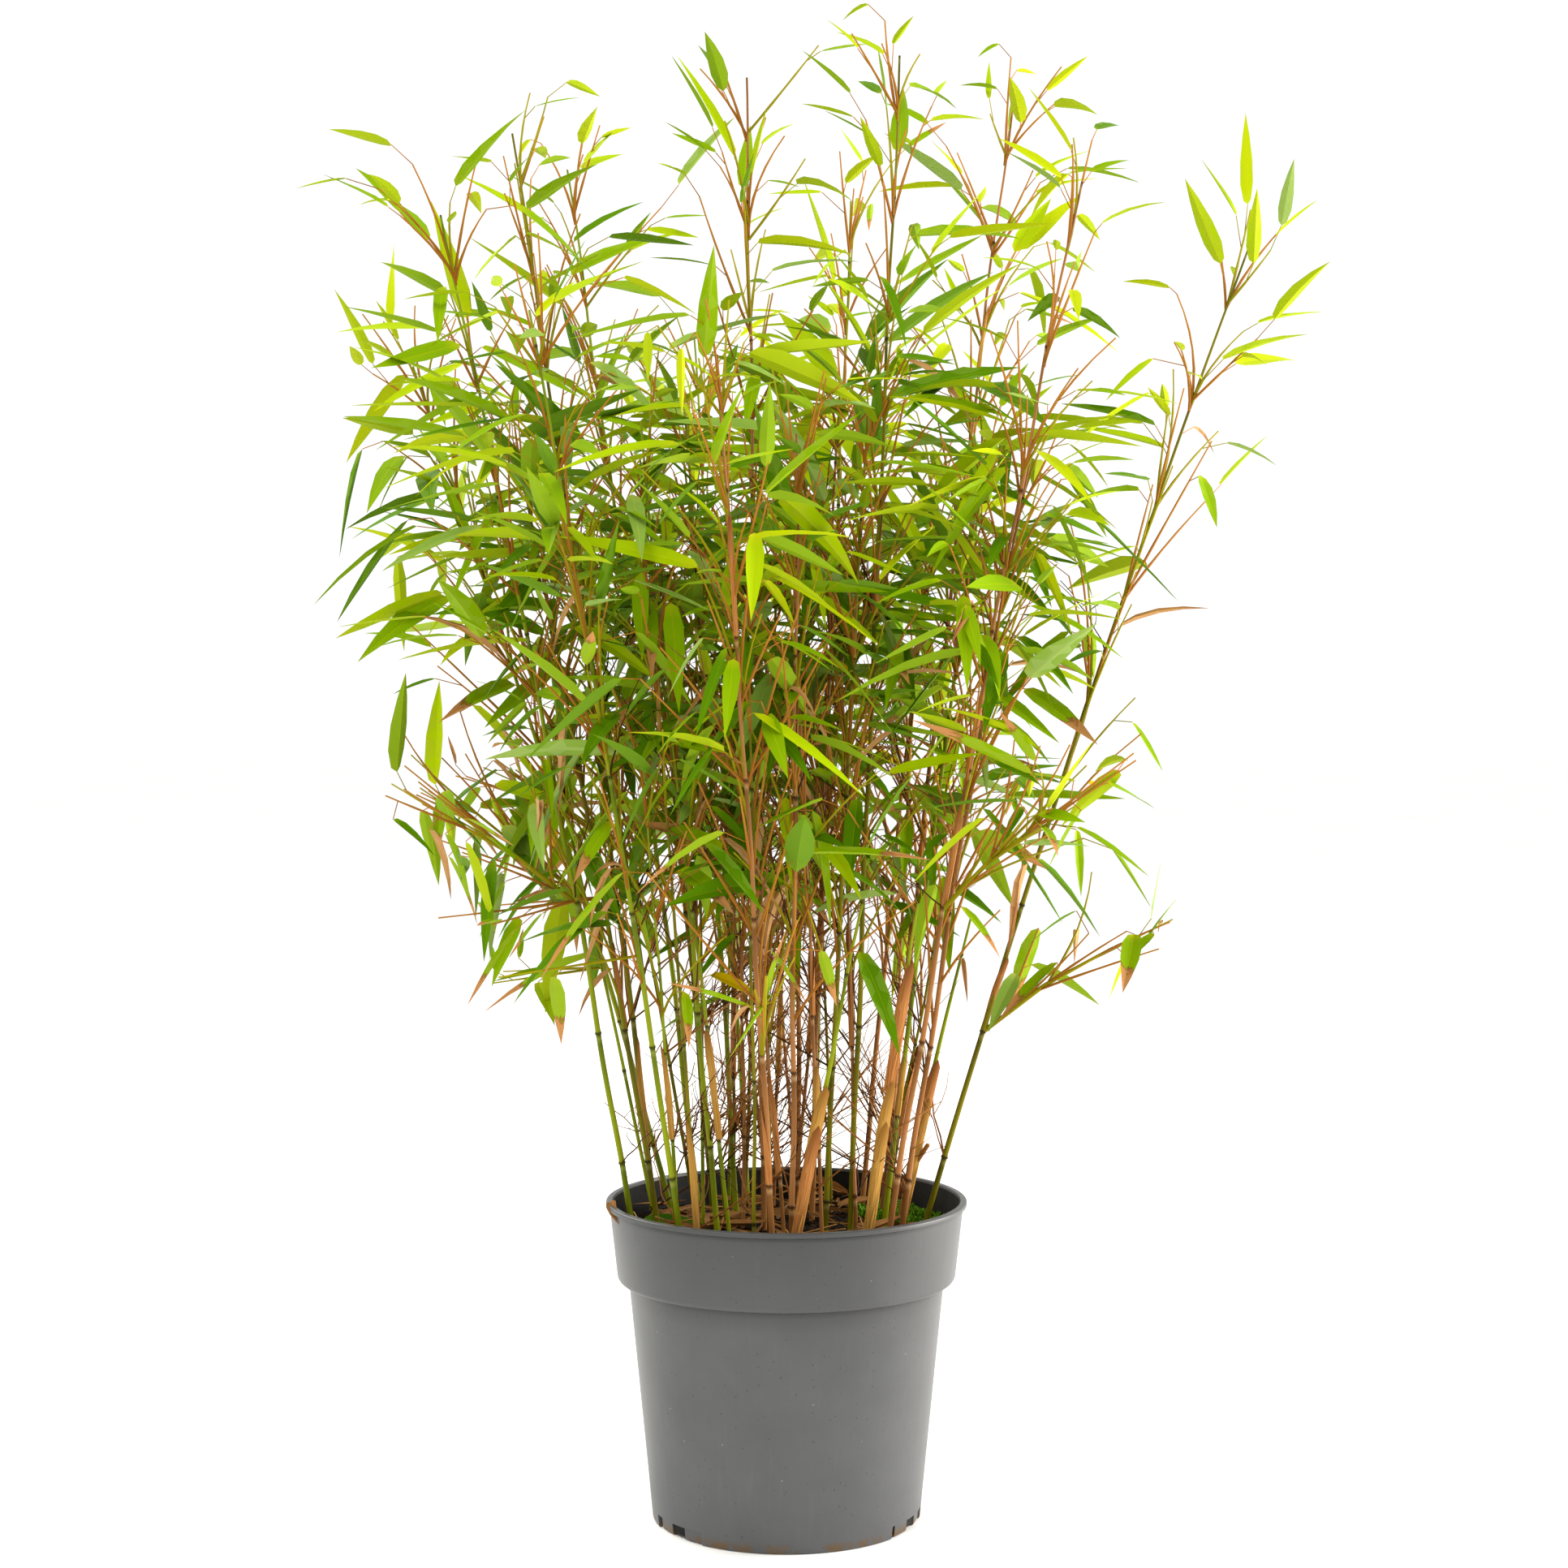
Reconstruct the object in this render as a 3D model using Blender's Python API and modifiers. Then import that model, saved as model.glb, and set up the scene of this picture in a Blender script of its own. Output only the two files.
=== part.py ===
"""Potted clump-forming bamboo, in metres, +Z up, +X to the viewer's right.

The origin is the middle of the pot's flat underside.  A turned nursery pot holds
the root ball; culms stand on the root ball and lean outwards like a fan.  Each
culm ends where its own mass of foliage begins, and the mass goes on along the
culm's line to the tip.  Outer culms also carry a lower mass on a side branch.
"""

import math
import random

import bmesh
import bpy
from mathutils import Matrix, Vector
from mathutils.bvhtree import BVHTree

MM = 0.001
GAP = 0.3 * MM
GOLDEN_ANGLE = math.radians(137.508)

# Pot: a 23 cm round nursery pot with a deep collar.
POT_HEIGHT = 0.2036
RIM_RADIUS = 0.115
LIP_HEIGHT = 3.2 * MM
LIP_OVERHANG = 2.4 * MM
LIP_ROUND = 1.2 * MM
LIP_UNDERCUT = 0.6 * MM
COLLAR_FOOT_RADIUS = 0.1079
COLLAR_FOOT_HEIGHT = 0.1528
COLLAR_ROUND = 4.0 * MM
BODY_TOP_RADIUS = 0.1005
BASE_RADIUS = 0.0854
BASE_ROUND = 1.5 * MM
WALL = 2.0 * MM
LEDGE_HEIGHT = COLLAR_FOOT_HEIGHT + WALL + 0.8 * MM
LEDGE_RISE = 1.0 * MM
POT_SEGMENTS = 36

# Drainage windows in the pot's lower edge: degrees from the window's start,
# width in degrees and depth, for each slot of one window.
WINDOW_STARTS = (200.0, 320.0, 80.0)
WINDOW_HEIGHT = 8.0 * MM
WINDOW_SLOTS = ((1.5, 3.0, 3.4 * MM), (8.0, 10.4, 1.2 * MM),
                (17.5, 9.0, 3.4 * MM), (27.0, 10.4, 1.2 * MM))
CUTTER_REACH = 6.0 * MM

# Root ball: its top is a shallow dome below the rim.
SOIL_EDGE_HEIGHT = 0.1830
SOIL_CROWN = 4.0 * MM
SOIL_RINGS = 3

MOSS_PLACE = (0.070, 0.062)
MOSS_SIZE = (19.0 * MM, 14.0 * MM, 5.0 * MM)

# Culms.  Leaders rise clear of the crown: foot x, y and tip x, y, z in mm.
LEADERS = (
    (-97, -14, -206, -90, 812),
    (-84, 20, -176, 44, 885),
    (-58, 66, -149, 150, 880),
    (-14, -22, -25, -32, 905),
    (16, 62, 45, 170, 862),
    (40, -32, 69, -62, 912),
    (62, 36, 149, 92, 912),
    (62, -62, 171, -136, 824),
    (88, 4, 291, 2, 806),
    (-74, 44, -246, 84, 740),
    (-8, -88, -38, -220, 715),
    (-26, 88, -66, 236, 775),
    (-64, -66, -146, -176, 745),
)
FILLERS = 11
CLUMP_RADIUS = 0.088
FILLER_PHASE = math.radians(30)
FILLER_FAN = 2.05
FILLER_TIP_INNER = 0.735
FILLER_TIP_OUTER = 0.665
CULM_FOOT_RADIUS = 2.2 * MM
CULM_TIP_RADIUS = 0.7 * MM
CULM_BOW = 0.12
LEADER_CUT = 0.50
FILLER_CUT = 0.42
INTERNODE = 0.085
FIRST_NODE = 0.55
RIDGE_LENGTH = 1.6 * MM
RIDGE_SWELL = 1.28
RIDGE_PROFILE = ((-1.0, 1.0), (0.0, RIDGE_SWELL), (1.0, 0.97))

# Side branches that carry a lower mass: leader, node up the culm, turn from outwards in degrees.
SIDE_BRANCHES = ((0, 2, -20), (2, 2, 25), (6, 2, 30), (7, 2, -15),
                 (8, 1, -10), (9, 2, 10), (10, 1, 15), (11, 2, -20))
SIDE_LENGTH = 0.100
SIDE_RISE = math.radians(38)
SIDE_END_RISE = math.radians(30)
SIDE_RADIUS_SHARE = 0.7
SEATING_STEPS = 5

# Foliage.
WHORL_SPACING = 0.066
TWIGS_PER_WHORL = 2
TWIG_LENGTH = (0.050, 0.085)
TWIG_RADIUS = 1.0 * MM
TWIG_STAGGER = 5.0 * MM
STEM_LEAST_RADIUS = 1.3 * MM
TWIG_LEAN = (math.radians(18), math.radians(48))
FIRST_WHORL = 0.35
TOP_TWIG_SHRINK = 0.45

# Leaves: each twig bears one part of the way along and one near its end, as
# (share of the twig, turn from the twig's azimuth in radians).
LEAF_PLACES = ((0.5, 0.9), (0.94, -0.5))
LEAF_LENGTH = (0.085, 0.125)
LEAF_ROLL = 0.7
LEAF_RISE_SPREAD = 0.4
LOWEST_LEAF_RISE = math.radians(-42)
LEAF_RISE_RANGE = math.radians(78)
RISE_LEVELS = (0.34, 0.90)
FULL_SIZE_BELOW = 0.66
TOP_LEAF_SHRINK = 0.28
LEAF_WIDTH_SHARE = 0.15
LEAF_BROADEST = 0.36
KEEL_PLACE = 0.16
LEAF_THICKNESS = 1.6 * MM
LEAF_SAG_SHARE = 0.07
ROOT_SUNK = 0.2 * MM
SPACE_MARGIN = 0.8 * MM
LIMB_MARGIN = 1.0 * MM
SEED = 23

# A twig or leaf that does not fit is tried again, each time turned further and a little shorter.
TRIES = 14
LEAF_TURN_STEP = 0.12
LEAF_LIFT_STEP = 0.144
LEAF_SHRINK_STEP = 0.02
TWIG_TURN_STEP = 0.08
TWIG_LEAN_STEP = 0.04
TWIG_SHRINK_STEP = 0.03

# How far the crown reaches: no twig or leaf leaves this box, which is narrower
# below the waist by an even share, and whose top falls away evenly to the front.
CROWN_LOW = Vector((-0.298, -0.262, 0.312))
CROWN_HIGH = Vector((0.346, 0.280, 0.949))
WAIST_HEIGHT = 0.60
SHARE_AT_FOOT = 0.62
FRONT_FALL = 0.20


def new_material(name, colour, roughness):
    """A Principled material with one colour and roughness."""
    material = bpy.data.materials.new(name)
    material.use_nodes = True
    shader = material.node_tree.nodes["Principled BSDF"]
    shader.inputs["Base Color"].default_value = (*colour, 1.0)
    shader.inputs["Roughness"].default_value = roughness
    return material


def new_collection(name):
    collection = bpy.data.collections.new(name)
    bpy.context.scene.collection.children.link(collection)
    return collection


def new_object(name, mesh, collection, material=None):
    """An object for a mesh, in a collection, with its material."""
    thing = bpy.data.objects.new(name, mesh)
    collection.objects.link(thing)
    if material is not None:
        mesh.materials.append(material)
    return thing


def mesh_from_bmesh(name, bm):
    mesh = bpy.data.meshes.new(name)
    bm.to_mesh(mesh)
    bm.free()
    return mesh


def turned(name, profile, segments, collection, material):
    """A profile of (radius, height) points, both ends on the axis, turned about Z by a Screw modifier."""
    mesh = bpy.data.meshes.new(name)
    edges = [(i, i + 1) for i in range(len(profile) - 1)]
    mesh.from_pydata([(r, 0.0, z) for r, z in profile], edges, [])
    thing = new_object(name, mesh, collection, material)
    screw = thing.modifiers.new("turn", "SCREW")
    screw.steps = segments
    screw.render_steps = segments
    screw.use_merge_vertices = True
    screw.merge_threshold = 0.00002
    screw.use_smooth_shade = False
    return thing


def arc(centre_r, centre_z, radius, start, end, steps):
    """Points of a round corner in the (radius, height) plane, angles in degrees."""
    points = []
    for i in range(steps + 1):
        angle = math.radians(start + (end - start) * i / steps)
        points.append((centre_r + radius * math.cos(angle), centre_z + radius * math.sin(angle)))
    return points


def wall_radius(height, inset):
    """The pot body's radius at a height, less an inset from the outside."""
    share = height / COLLAR_FOOT_HEIGHT
    return BASE_RADIUS + (BODY_TOP_RADIUS - BASE_RADIUS) * share - inset


def make_pot(parts, cutters):
    """Turned shell: lip, collar, ledge, tapering body, flat base, drainage windows.

    The profile runs from the floor's middle up the inside, over the rim, down the
    outside and back along the underside.
    """
    under_lip = POT_HEIGHT - LIP_HEIGHT
    collar_top = RIM_RADIUS - LIP_OVERHANG
    profile = [(0.0, WALL), (wall_radius(WALL, WALL), WALL), (BODY_TOP_RADIUS - WALL, LEDGE_HEIGHT),
               (COLLAR_FOOT_RADIUS - WALL, LEDGE_HEIGHT + LEDGE_RISE), (collar_top - WALL, POT_HEIGHT)]
    profile += arc(RIM_RADIUS - LIP_ROUND, POT_HEIGHT - LIP_ROUND, LIP_ROUND, 90, 0, 2)
    profile += [(RIM_RADIUS, under_lip), (collar_top, under_lip - LIP_UNDERCUT)]
    profile += arc(COLLAR_FOOT_RADIUS - COLLAR_ROUND, COLLAR_FOOT_HEIGHT + COLLAR_ROUND, COLLAR_ROUND, 0, -90, 3)
    profile += [(BODY_TOP_RADIUS, LEDGE_HEIGHT - WALL), (wall_radius(BASE_ROUND, 0.0), BASE_ROUND)]
    profile += [(BASE_RADIUS - BASE_ROUND, 0.0), (0.0, 0.0)]
    material = new_material("grey_polypropylene", (0.19, 0.20, 0.21), 0.45)
    pot = turned("pot", profile, POT_SEGMENTS, parts, material)
    for window, start in enumerate(WINDOW_STARTS):
        for slot, (place, width, depth) in enumerate(WINDOW_SLOTS):
            make_slot_cutter(f"cut_{window}_{slot}", start + place, width, depth, cutters)
    cut = pot.modifiers.new("windows", "BOOLEAN")
    cut.operation = "DIFFERENCE"
    cut.operand_type = "COLLECTION"
    cut.collection = cutters
    cut.solver = "EXACT"


def make_slot_cutter(name, place, width, depth, cutters):
    """A box that cuts one slot of a drainage window out of the pot's lower edge."""
    bm = bmesh.new()
    bmesh.ops.create_cube(bm, size=1.0)
    chord = 2.0 * BASE_RADIUS * math.sin(math.radians(width) / 2)
    scale = Matrix.Diagonal((depth + CUTTER_REACH, chord, 2.0 * WINDOW_HEIGHT, 1.0))
    middle = Vector((BASE_RADIUS + (CUTTER_REACH - depth) / 2, 0.0, 0.0))
    turn = Matrix.Rotation(math.radians(place), 4, "Z")
    bmesh.ops.transform(bm, matrix=turn @ Matrix.Translation(middle) @ scale, verts=bm.verts)
    cutter = new_object(name, mesh_from_bmesh(name, bm), cutters)
    cutter.hide_render = True
    cutter.display_type = "WIRE"


def soil_height(x, y):
    """The root ball's top: a shallow parabolic dome."""
    share = (x * x + y * y) / (BODY_TOP_RADIUS * BODY_TOP_RADIUS)
    return SOIL_EDGE_HEIGHT + SOIL_CROWN * (1.0 - share)


def make_root_ball(parts):
    """The filled pot's growing medium, a gap clear of the pot's wall and floor."""
    edge = COLLAR_FOOT_RADIUS - WALL - GAP
    ledge = LEDGE_HEIGHT + LEDGE_RISE + GAP
    rings = [edge * i / SOIL_RINGS for i in range(SOIL_RINGS + 1)]
    profile = [(r, soil_height(r, 0.0)) for r in rings]
    profile += [(edge, ledge), (BODY_TOP_RADIUS - WALL - GAP, ledge)]
    profile += [(wall_radius(WALL, WALL) - GAP, WALL + GAP), (0.0, WALL + GAP)]
    turned("root_ball", profile, POT_SEGMENTS, parts, new_material("growing_medium", (0.055, 0.035, 0.022), 0.95))


def make_moss(parts):
    """A low cushion of moss seated on the root ball, its base flat."""
    bm = bmesh.new()
    bmesh.ops.create_uvsphere(bm, u_segments=12, v_segments=6, radius=1.0)
    low = [v for v in bm.verts if v.co.z < -0.1]
    bmesh.ops.delete(bm, geom=low, context="VERTS")
    rim = [e for e in bm.edges if e.is_boundary]
    bmesh.ops.contextual_create(bm, geom=rim)
    x, y = MOSS_PLACE
    inner = math.hypot(x, y) - MOSS_SIZE[1]
    seat = soil_height(inner, 0.0) + GAP
    turn = Matrix.Rotation(math.atan2(y, x) + math.pi / 2, 4, "Z")
    place = Matrix.Translation((x, y, seat)) @ turn @ Matrix.Diagonal((*MOSS_SIZE, 1.0))
    bmesh.ops.transform(bm, matrix=place, verts=bm.verts)
    new_object("moss_patch", mesh_from_bmesh("moss_patch", bm), parts, new_material("moss", (0.10, 0.20, 0.03), 0.9))


class Limb:
    """A culm's whole line from its foot on the root ball to the tip of its foliage."""

    def __init__(self, name, foot, tip, cut):
        self.name = name
        self.foot = Vector((foot[0], foot[1], soil_height(*foot) + GAP))
        self.tip = Vector(tip)
        self.cut = cut
        self.length = (self.tip - self.foot).length

    def point(self, t):
        """Straight in height; the lean grows evenly, by the bow, from foot to tip."""
        share = t + CULM_BOW * (t * t - t)
        flat = self.foot.lerp(self.tip, share)
        return Vector((flat.x, flat.y, self.foot.z + (self.tip.z - self.foot.z) * t))

    def radius(self, t):
        return CULM_FOOT_RADIUS + (CULM_TIP_RADIUS - CULM_FOOT_RADIUS) * t

    def direction(self, t):
        return (self.point(t + 0.01) - self.point(t - 0.01)).normalized()

    def node_place(self, node):
        """Where a node is along the culm: the first a little over half an internode up."""
        return (node + FIRST_NODE) * INTERNODE / self.length

    def outward(self):
        return math.atan2(self.tip.y - self.foot.y, self.tip.x - self.foot.x)


def clump():
    """Every limb: the named leaders, then fillers on a golden-angle spiral."""
    limbs = []
    for number, (fx, fy, tx, ty, tz) in enumerate(LEADERS, 1):
        foot = (fx * MM, fy * MM)
        limbs.append(Limb(f"leader_{number:02d}", foot, (tx * MM, ty * MM, tz * MM), LEADER_CUT))
    for i in range(FILLERS):
        share = math.sqrt((i + 0.5) / FILLERS)
        angle = FILLER_PHASE + GOLDEN_ANGLE * i
        reach = CLUMP_RADIUS * share
        foot = (reach * math.cos(angle), reach * math.sin(angle))
        height = FILLER_TIP_INNER + (FILLER_TIP_OUTER - FILLER_TIP_INNER) * share
        limbs.append(Limb(f"culm_{i + 1:02d}", foot, (foot[0] * FILLER_FAN, foot[1] * FILLER_FAN, height), FILLER_CUT))
    return limbs


def tube(points, radii, resolution):
    """A mesh tube through points: a poly curve with a bevel and filled, welded caps."""
    curve = bpy.data.curves.new("tube", "CURVE")
    curve.dimensions = "3D"
    curve.bevel_depth = 1.0
    curve.bevel_resolution = resolution
    curve.use_fill_caps = True
    spline = curve.splines.new("POLY")
    spline.points.add(len(points) - 1)
    for knot, point, radius in zip(spline.points, points, radii):
        knot.co = (*point, 1.0)
        knot.radius = radius
    guide = bpy.data.objects.new("tube", curve)
    bpy.context.scene.collection.objects.link(guide)
    bpy.context.view_layer.update()
    graph = bpy.context.evaluated_depsgraph_get()
    mesh = bpy.data.meshes.new_from_object(guide.evaluated_get(graph))
    bpy.data.objects.remove(guide)
    bpy.data.curves.remove(curve)
    bm = bmesh.new()
    bm.from_mesh(mesh)
    bmesh.ops.remove_doubles(bm, verts=bm.verts, dist=0.00001)
    bmesh.ops.recalc_face_normals(bm, faces=bm.faces)
    bm.to_mesh(mesh)
    bm.free()
    return mesh


def culm_stations(limb, ridged):
    """Places and radii along a culm, with a swollen ridge at each node."""
    stations = [(0.0, limb.radius(0.0)), (3.0 * MM / limb.length, limb.radius(0.0))]
    end = limb.cut * limb.length
    node = 0
    while ridged and limb.node_place(node) * limb.length < end - 2.0 * RIDGE_LENGTH:
        for step, swell in RIDGE_PROFILE:
            t = limb.node_place(node) + step * RIDGE_LENGTH / limb.length
            stations.append((t, limb.radius(t) * swell))
        node += 1
    if not ridged:
        stations.append((limb.cut / 2, limb.radius(limb.cut / 2)))
    stations.append((limb.cut, limb.radius(limb.cut)))
    return stations


def culm_points(limb, stations):
    """The culm's centre line; its first stretch is upright, so the foot is a flat cut."""
    points = [limb.point(t) for t, _ in stations]
    points[1] = Vector((limb.foot.x, limb.foot.y, points[1].z))
    return points


def side_stem(limb, node, turn):
    """The line of a side branch, from just clear of the ridge at its node, outwards and up.

    Its base is slid along the branch's own direction until it is a gap from the culm.
    """
    t = limb.node_place(node)
    radius = limb.radius(t) * SIDE_RADIUS_SHARE
    radii = [radius, radius, STEM_LEAST_RADIUS]
    azimuth = limb.outward() + math.radians(turn)
    out = Vector((math.cos(azimuth), math.sin(azimuth), 0.0))
    up = Vector((0.0, 0.0, 1.0))
    first = out * math.cos(SIDE_RISE) + up * math.sin(SIDE_RISE)
    second = out * math.cos(SIDE_END_RISE) + up * math.sin(SIDE_END_RISE)
    half = SIDE_LENGTH / 2
    culm = bpy.data.objects[limb.name].data
    surface = BVHTree.FromPolygons([v.co for v in culm.vertices], [face.vertices for face in culm.polygons])
    clear = limb.radius(t) * 3.0
    for _ in range(SEATING_STEPS):
        start = limb.point(t) + first * clear
        points = [start, start + first * half, start + first * half + second * half]
        trial = tube(points, radii, 0)
        nearest = min(surface.find_nearest(corner.co)[3] for corner in trial.vertices)
        bpy.data.meshes.remove(trial)
        clear -= (nearest - GAP) / math.sin(first.angle(limb.direction(t)))
    return points, radii


def top_stem(limb):
    """The line of the mass that carries a culm on to its tip."""
    first = limb.cut + GAP / limb.length
    count = 3
    places = [first + (1.0 - first) * i / count for i in range(count + 1)]
    return [limb.point(t) for t in places], [max(limb.radius(t), STEM_LEAST_RADIUS) for t in places]


def polyline_point(points, share):
    """A point and direction at a share of a polyline's length."""
    lengths = [(b - a).length for a, b in zip(points, points[1:])]
    left = share * sum(lengths)
    for a, b, length in zip(points, points[1:], lengths):
        if left <= length or b is points[-1]:
            return a.lerp(b, min(left / length, 1.0)), (b - a).normalized()
        left -= length
    return points[-1], (points[-1] - points[-2]).normalized()


def distance_to_line(point, points):
    """The distance from a point to a polyline."""
    best = 9.0
    for a, b in zip(points, points[1:]):
        along = b - a
        share = max(0.0, min(1.0, (point - a).dot(along) / along.length_squared))
        best = min(best, (a + along * share - point).length)
    return best


def within_reach(corner):
    """Whether a corner is inside the crown's box, drawn in evenly below the waist."""
    up = min(1.0, (corner.z - CROWN_LOW.z) / (WAIST_HEIGHT - CROWN_LOW.z))
    share = SHARE_AT_FOOT + (1.0 - SHARE_AT_FOOT) * up
    top = CROWN_HIGH.z + FRONT_FALL * min(0.0, corner.y)
    if not CROWN_LOW.z <= corner.z <= top:
        return False
    across = CROWN_LOW.x * share <= corner.x <= CROWN_HIGH.x * share
    return across and CROWN_LOW.y * share <= corner.y <= CROWN_HIGH.y * share


def in_own_space(corners, own, others):
    """Whether corners, and the middles between them, are nearer to their own stem than to any other."""
    for i, corner in enumerate(corners):
        for point in (corner, (corner + corners[i - 1]) / 2):
            near = distance_to_line(point, own) + SPACE_MARGIN
            if any(distance_to_line(point, other) < near for other in others):
                return False
    return True


def twig_mesh(start, direction, length):
    """A three-sided tapering twig."""
    bm = bmesh.new()
    turn = direction.to_track_quat("Z", "Y").to_matrix().to_4x4()
    place = Matrix.Translation(start + direction * length / 2) @ turn
    bmesh.ops.create_cone(bm, cap_ends=True, segments=3, radius1=TWIG_RADIUS,
                          radius2=TWIG_RADIUS * 0.7, depth=length, matrix=place)
    return bm


def leaf_mesh(root, direction, side, length):
    """A six-faced leaf: a sphere of three by two segments drawn out to an arched blade.

    The lower pole is the root and the upper pole the tip.  Two corners of the
    middle ring give the width at a third of the length; the third is the keel
    under the midrib, set nearer the root, where the blade is thickest.
    """
    normal = direction.cross(side).normalized()
    if normal.z < 0:
        normal = -normal
    arch = normal * LEAF_SAG_SHARE * length
    half = side * LEAF_WIDTH_SHARE * length / 2
    bm = bmesh.new()
    bmesh.ops.create_uvsphere(bm, u_segments=3, v_segments=2, radius=1.0)
    ring = sorted((v for v in bm.verts if abs(v.co.z) < 0.5), key=lambda v: v.co.y)
    for vert in bm.verts:
        vert.co = root - direction * ROOT_SUNK if vert.co.z < 0.0 else root + direction * length
    right, keel, left = ring
    left.co = root + direction * length * LEAF_BROADEST + half + arch
    right.co = root + direction * length * LEAF_BROADEST - half + arch
    keel.co = root + (direction * length + arch / LEAF_BROADEST) * KEEL_PLACE - normal * LEAF_THICKNESS
    if bm.calc_volume(signed=True) < 0.0:
        bmesh.ops.reverse_faces(bm, faces=bm.faces)
    return bm


class Foliage:
    """One mass: its stem's line, and the rule that grows twigs and leaves from it."""

    def __init__(self, name, points, radii, others, obstacles, seed):
        self.name = name
        self.points = points
        self.radii = radii
        self.others = others
        self.obstacles = obstacles
        self.draw = random.Random(seed)
        self.shapes = []
        self.twigs = []
        self.leaves = []

    def fits(self, bm, in_the_way):
        """Whether a shape keeps to the crown and this space, and crosses nothing in its way."""
        corners = [v.co.copy() for v in bm.verts]
        if not all(within_reach(corner) for corner in corners):
            return False
        tree = BVHTree.FromBMesh(bm)
        if any(other.overlap(tree) for other in in_the_way):
            return False
        return in_own_space(corners, self.points, self.others) and not self.obstacles.overlap(tree)

    def add_leaf(self, root, azimuth, rise, bearer=None):
        """A leaf at a root point; a try that does not fit is turned or lifted, then skipped."""
        in_the_way = self.leaves + [twig for twig in self.twigs if twig is not bearer]
        for attempt in range(TRIES):
            az = azimuth + self.draw.uniform(-LEAF_TURN_STEP, LEAF_TURN_STEP) * attempt
            up = rise + self.draw.uniform(-LEAF_LIFT_STEP, LEAF_LIFT_STEP) * attempt
            direction = Vector((math.cos(az) * math.cos(up), math.sin(az) * math.cos(up), math.sin(up)))
            roll = self.draw.uniform(-LEAF_ROLL, LEAF_ROLL)
            side = Vector((-math.sin(az), math.cos(az), 0.0))
            side = Matrix.Rotation(roll, 3, direction) @ side
            shrink = (1.0 - LEAF_SHRINK_STEP * attempt) * self.leaf_scale(root.z)
            length = self.draw.uniform(*LEAF_LENGTH) * shrink
            bm = leaf_mesh(root, direction, side, length)
            if self.fits(bm, in_the_way):
                self.shapes.append(bm)
                self.leaves.append(BVHTree.FromBMesh(bm))
                return True
            bm.free()
        return False

    def leaf_scale(self, height):
        """Leaves are full size in the body of the crown and shorter on the leaders' tops."""
        return 1.0 - TOP_LEAF_SHRINK * max(0.0, (height - FULL_SIZE_BELOW) / (CROWN_HIGH.z - FULL_SIZE_BELOW))

    def leaf_rise(self, height):
        """Leaves hang low in the crown, lie level in its middle and rise at its top."""
        low, high = RISE_LEVELS
        share = max(0.0, min(1.0, (height - low) / (high - low)))
        chance = self.draw.uniform(-LEAF_RISE_SPREAD, LEAF_RISE_SPREAD)
        return LOWEST_LEAF_RISE + LEAF_RISE_RANGE * share + chance

    def add_twig(self, root, along, azimuth, scale):
        """A twig leaning away from the stem, with a leaf part of the way and one at its end."""
        for attempt in range(TRIES):
            lean = self.draw.uniform(*TWIG_LEAN) * (1.0 - TWIG_LEAN_STEP * attempt)
            az = azimuth + self.draw.uniform(-TWIG_TURN_STEP, TWIG_TURN_STEP) * attempt
            length = self.draw.uniform(*TWIG_LENGTH) * scale * (1.0 - TWIG_SHRINK_STEP * attempt)
            out = Vector((math.cos(az), math.sin(az), 0.0))
            direction = (along * math.cos(lean) + out * math.sin(lean)).normalized()
            bm = twig_mesh(root, direction, length)
            if self.fits(bm, self.leaves):
                break
            bm.free()
        else:
            return
        tree = BVHTree.FromBMesh(bm)
        self.shapes.append(bm)
        self.twigs.append(tree)
        kept = 0
        for share, turn in LEAF_PLACES:
            place = root + direction * length * share
            kept += self.add_leaf(place, az + turn * self.draw.choice((-1, 1)), self.leaf_rise(place.z), tree)
        if not kept:
            self.shapes.remove(bm)
            self.twigs.remove(tree)
            bm.free()

    def grow(self):
        """Whorls at even spacing up the stem, each turned by the golden angle from the last."""
        length = sum((b - a).length for a, b in zip(self.points, self.points[1:]))
        whorls = max(3, round(length / WHORL_SPACING))
        azimuth = self.draw.uniform(0.0, math.tau)
        for whorl in range(whorls):
            root, along = polyline_point(self.points, (whorl + FIRST_WHORL) / whorls)
            scale = 1.0 - TOP_TWIG_SHRINK * whorl / whorls
            for twig in range(TWIGS_PER_WHORL):
                self.add_twig(root + along * TWIG_STAGGER * twig, along,
                              azimuth + math.tau * twig / TWIGS_PER_WHORL, scale)
            azimuth += GOLDEN_ANGLE
        end, along = polyline_point(self.points, 0.99)
        lift = math.asin(max(-1.0, min(1.0, along.z)))
        self.add_leaf(end, math.atan2(along.y, along.x), lift)

    def build(self, parts, material):
        """Fuse twigs and leaves onto the stem with one union on a collection."""
        stem = new_object(self.name, tube(self.points, self.radii, 0), parts, material)
        pieces = new_collection("pieces")
        for number, bm in enumerate(self.shapes):
            new_object(f"piece_{number}", mesh_from_bmesh("piece", bm), pieces)
        union = stem.modifiers.new("fuse", "BOOLEAN")
        union.operation = "UNION"
        union.operand_type = "COLLECTION"
        union.collection = pieces
        union.solver = "MANIFOLD"
        bpy.context.view_layer.update()
        graph = bpy.context.evaluated_depsgraph_get()
        fused = bpy.data.meshes.new_from_object(stem.evaluated_get(graph))
        stem.modifiers.clear()
        stem.data = keep_largest_body(fused)
        for piece in list(pieces.objects):
            bpy.data.objects.remove(piece)
        bpy.data.collections.remove(pieces)


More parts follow.
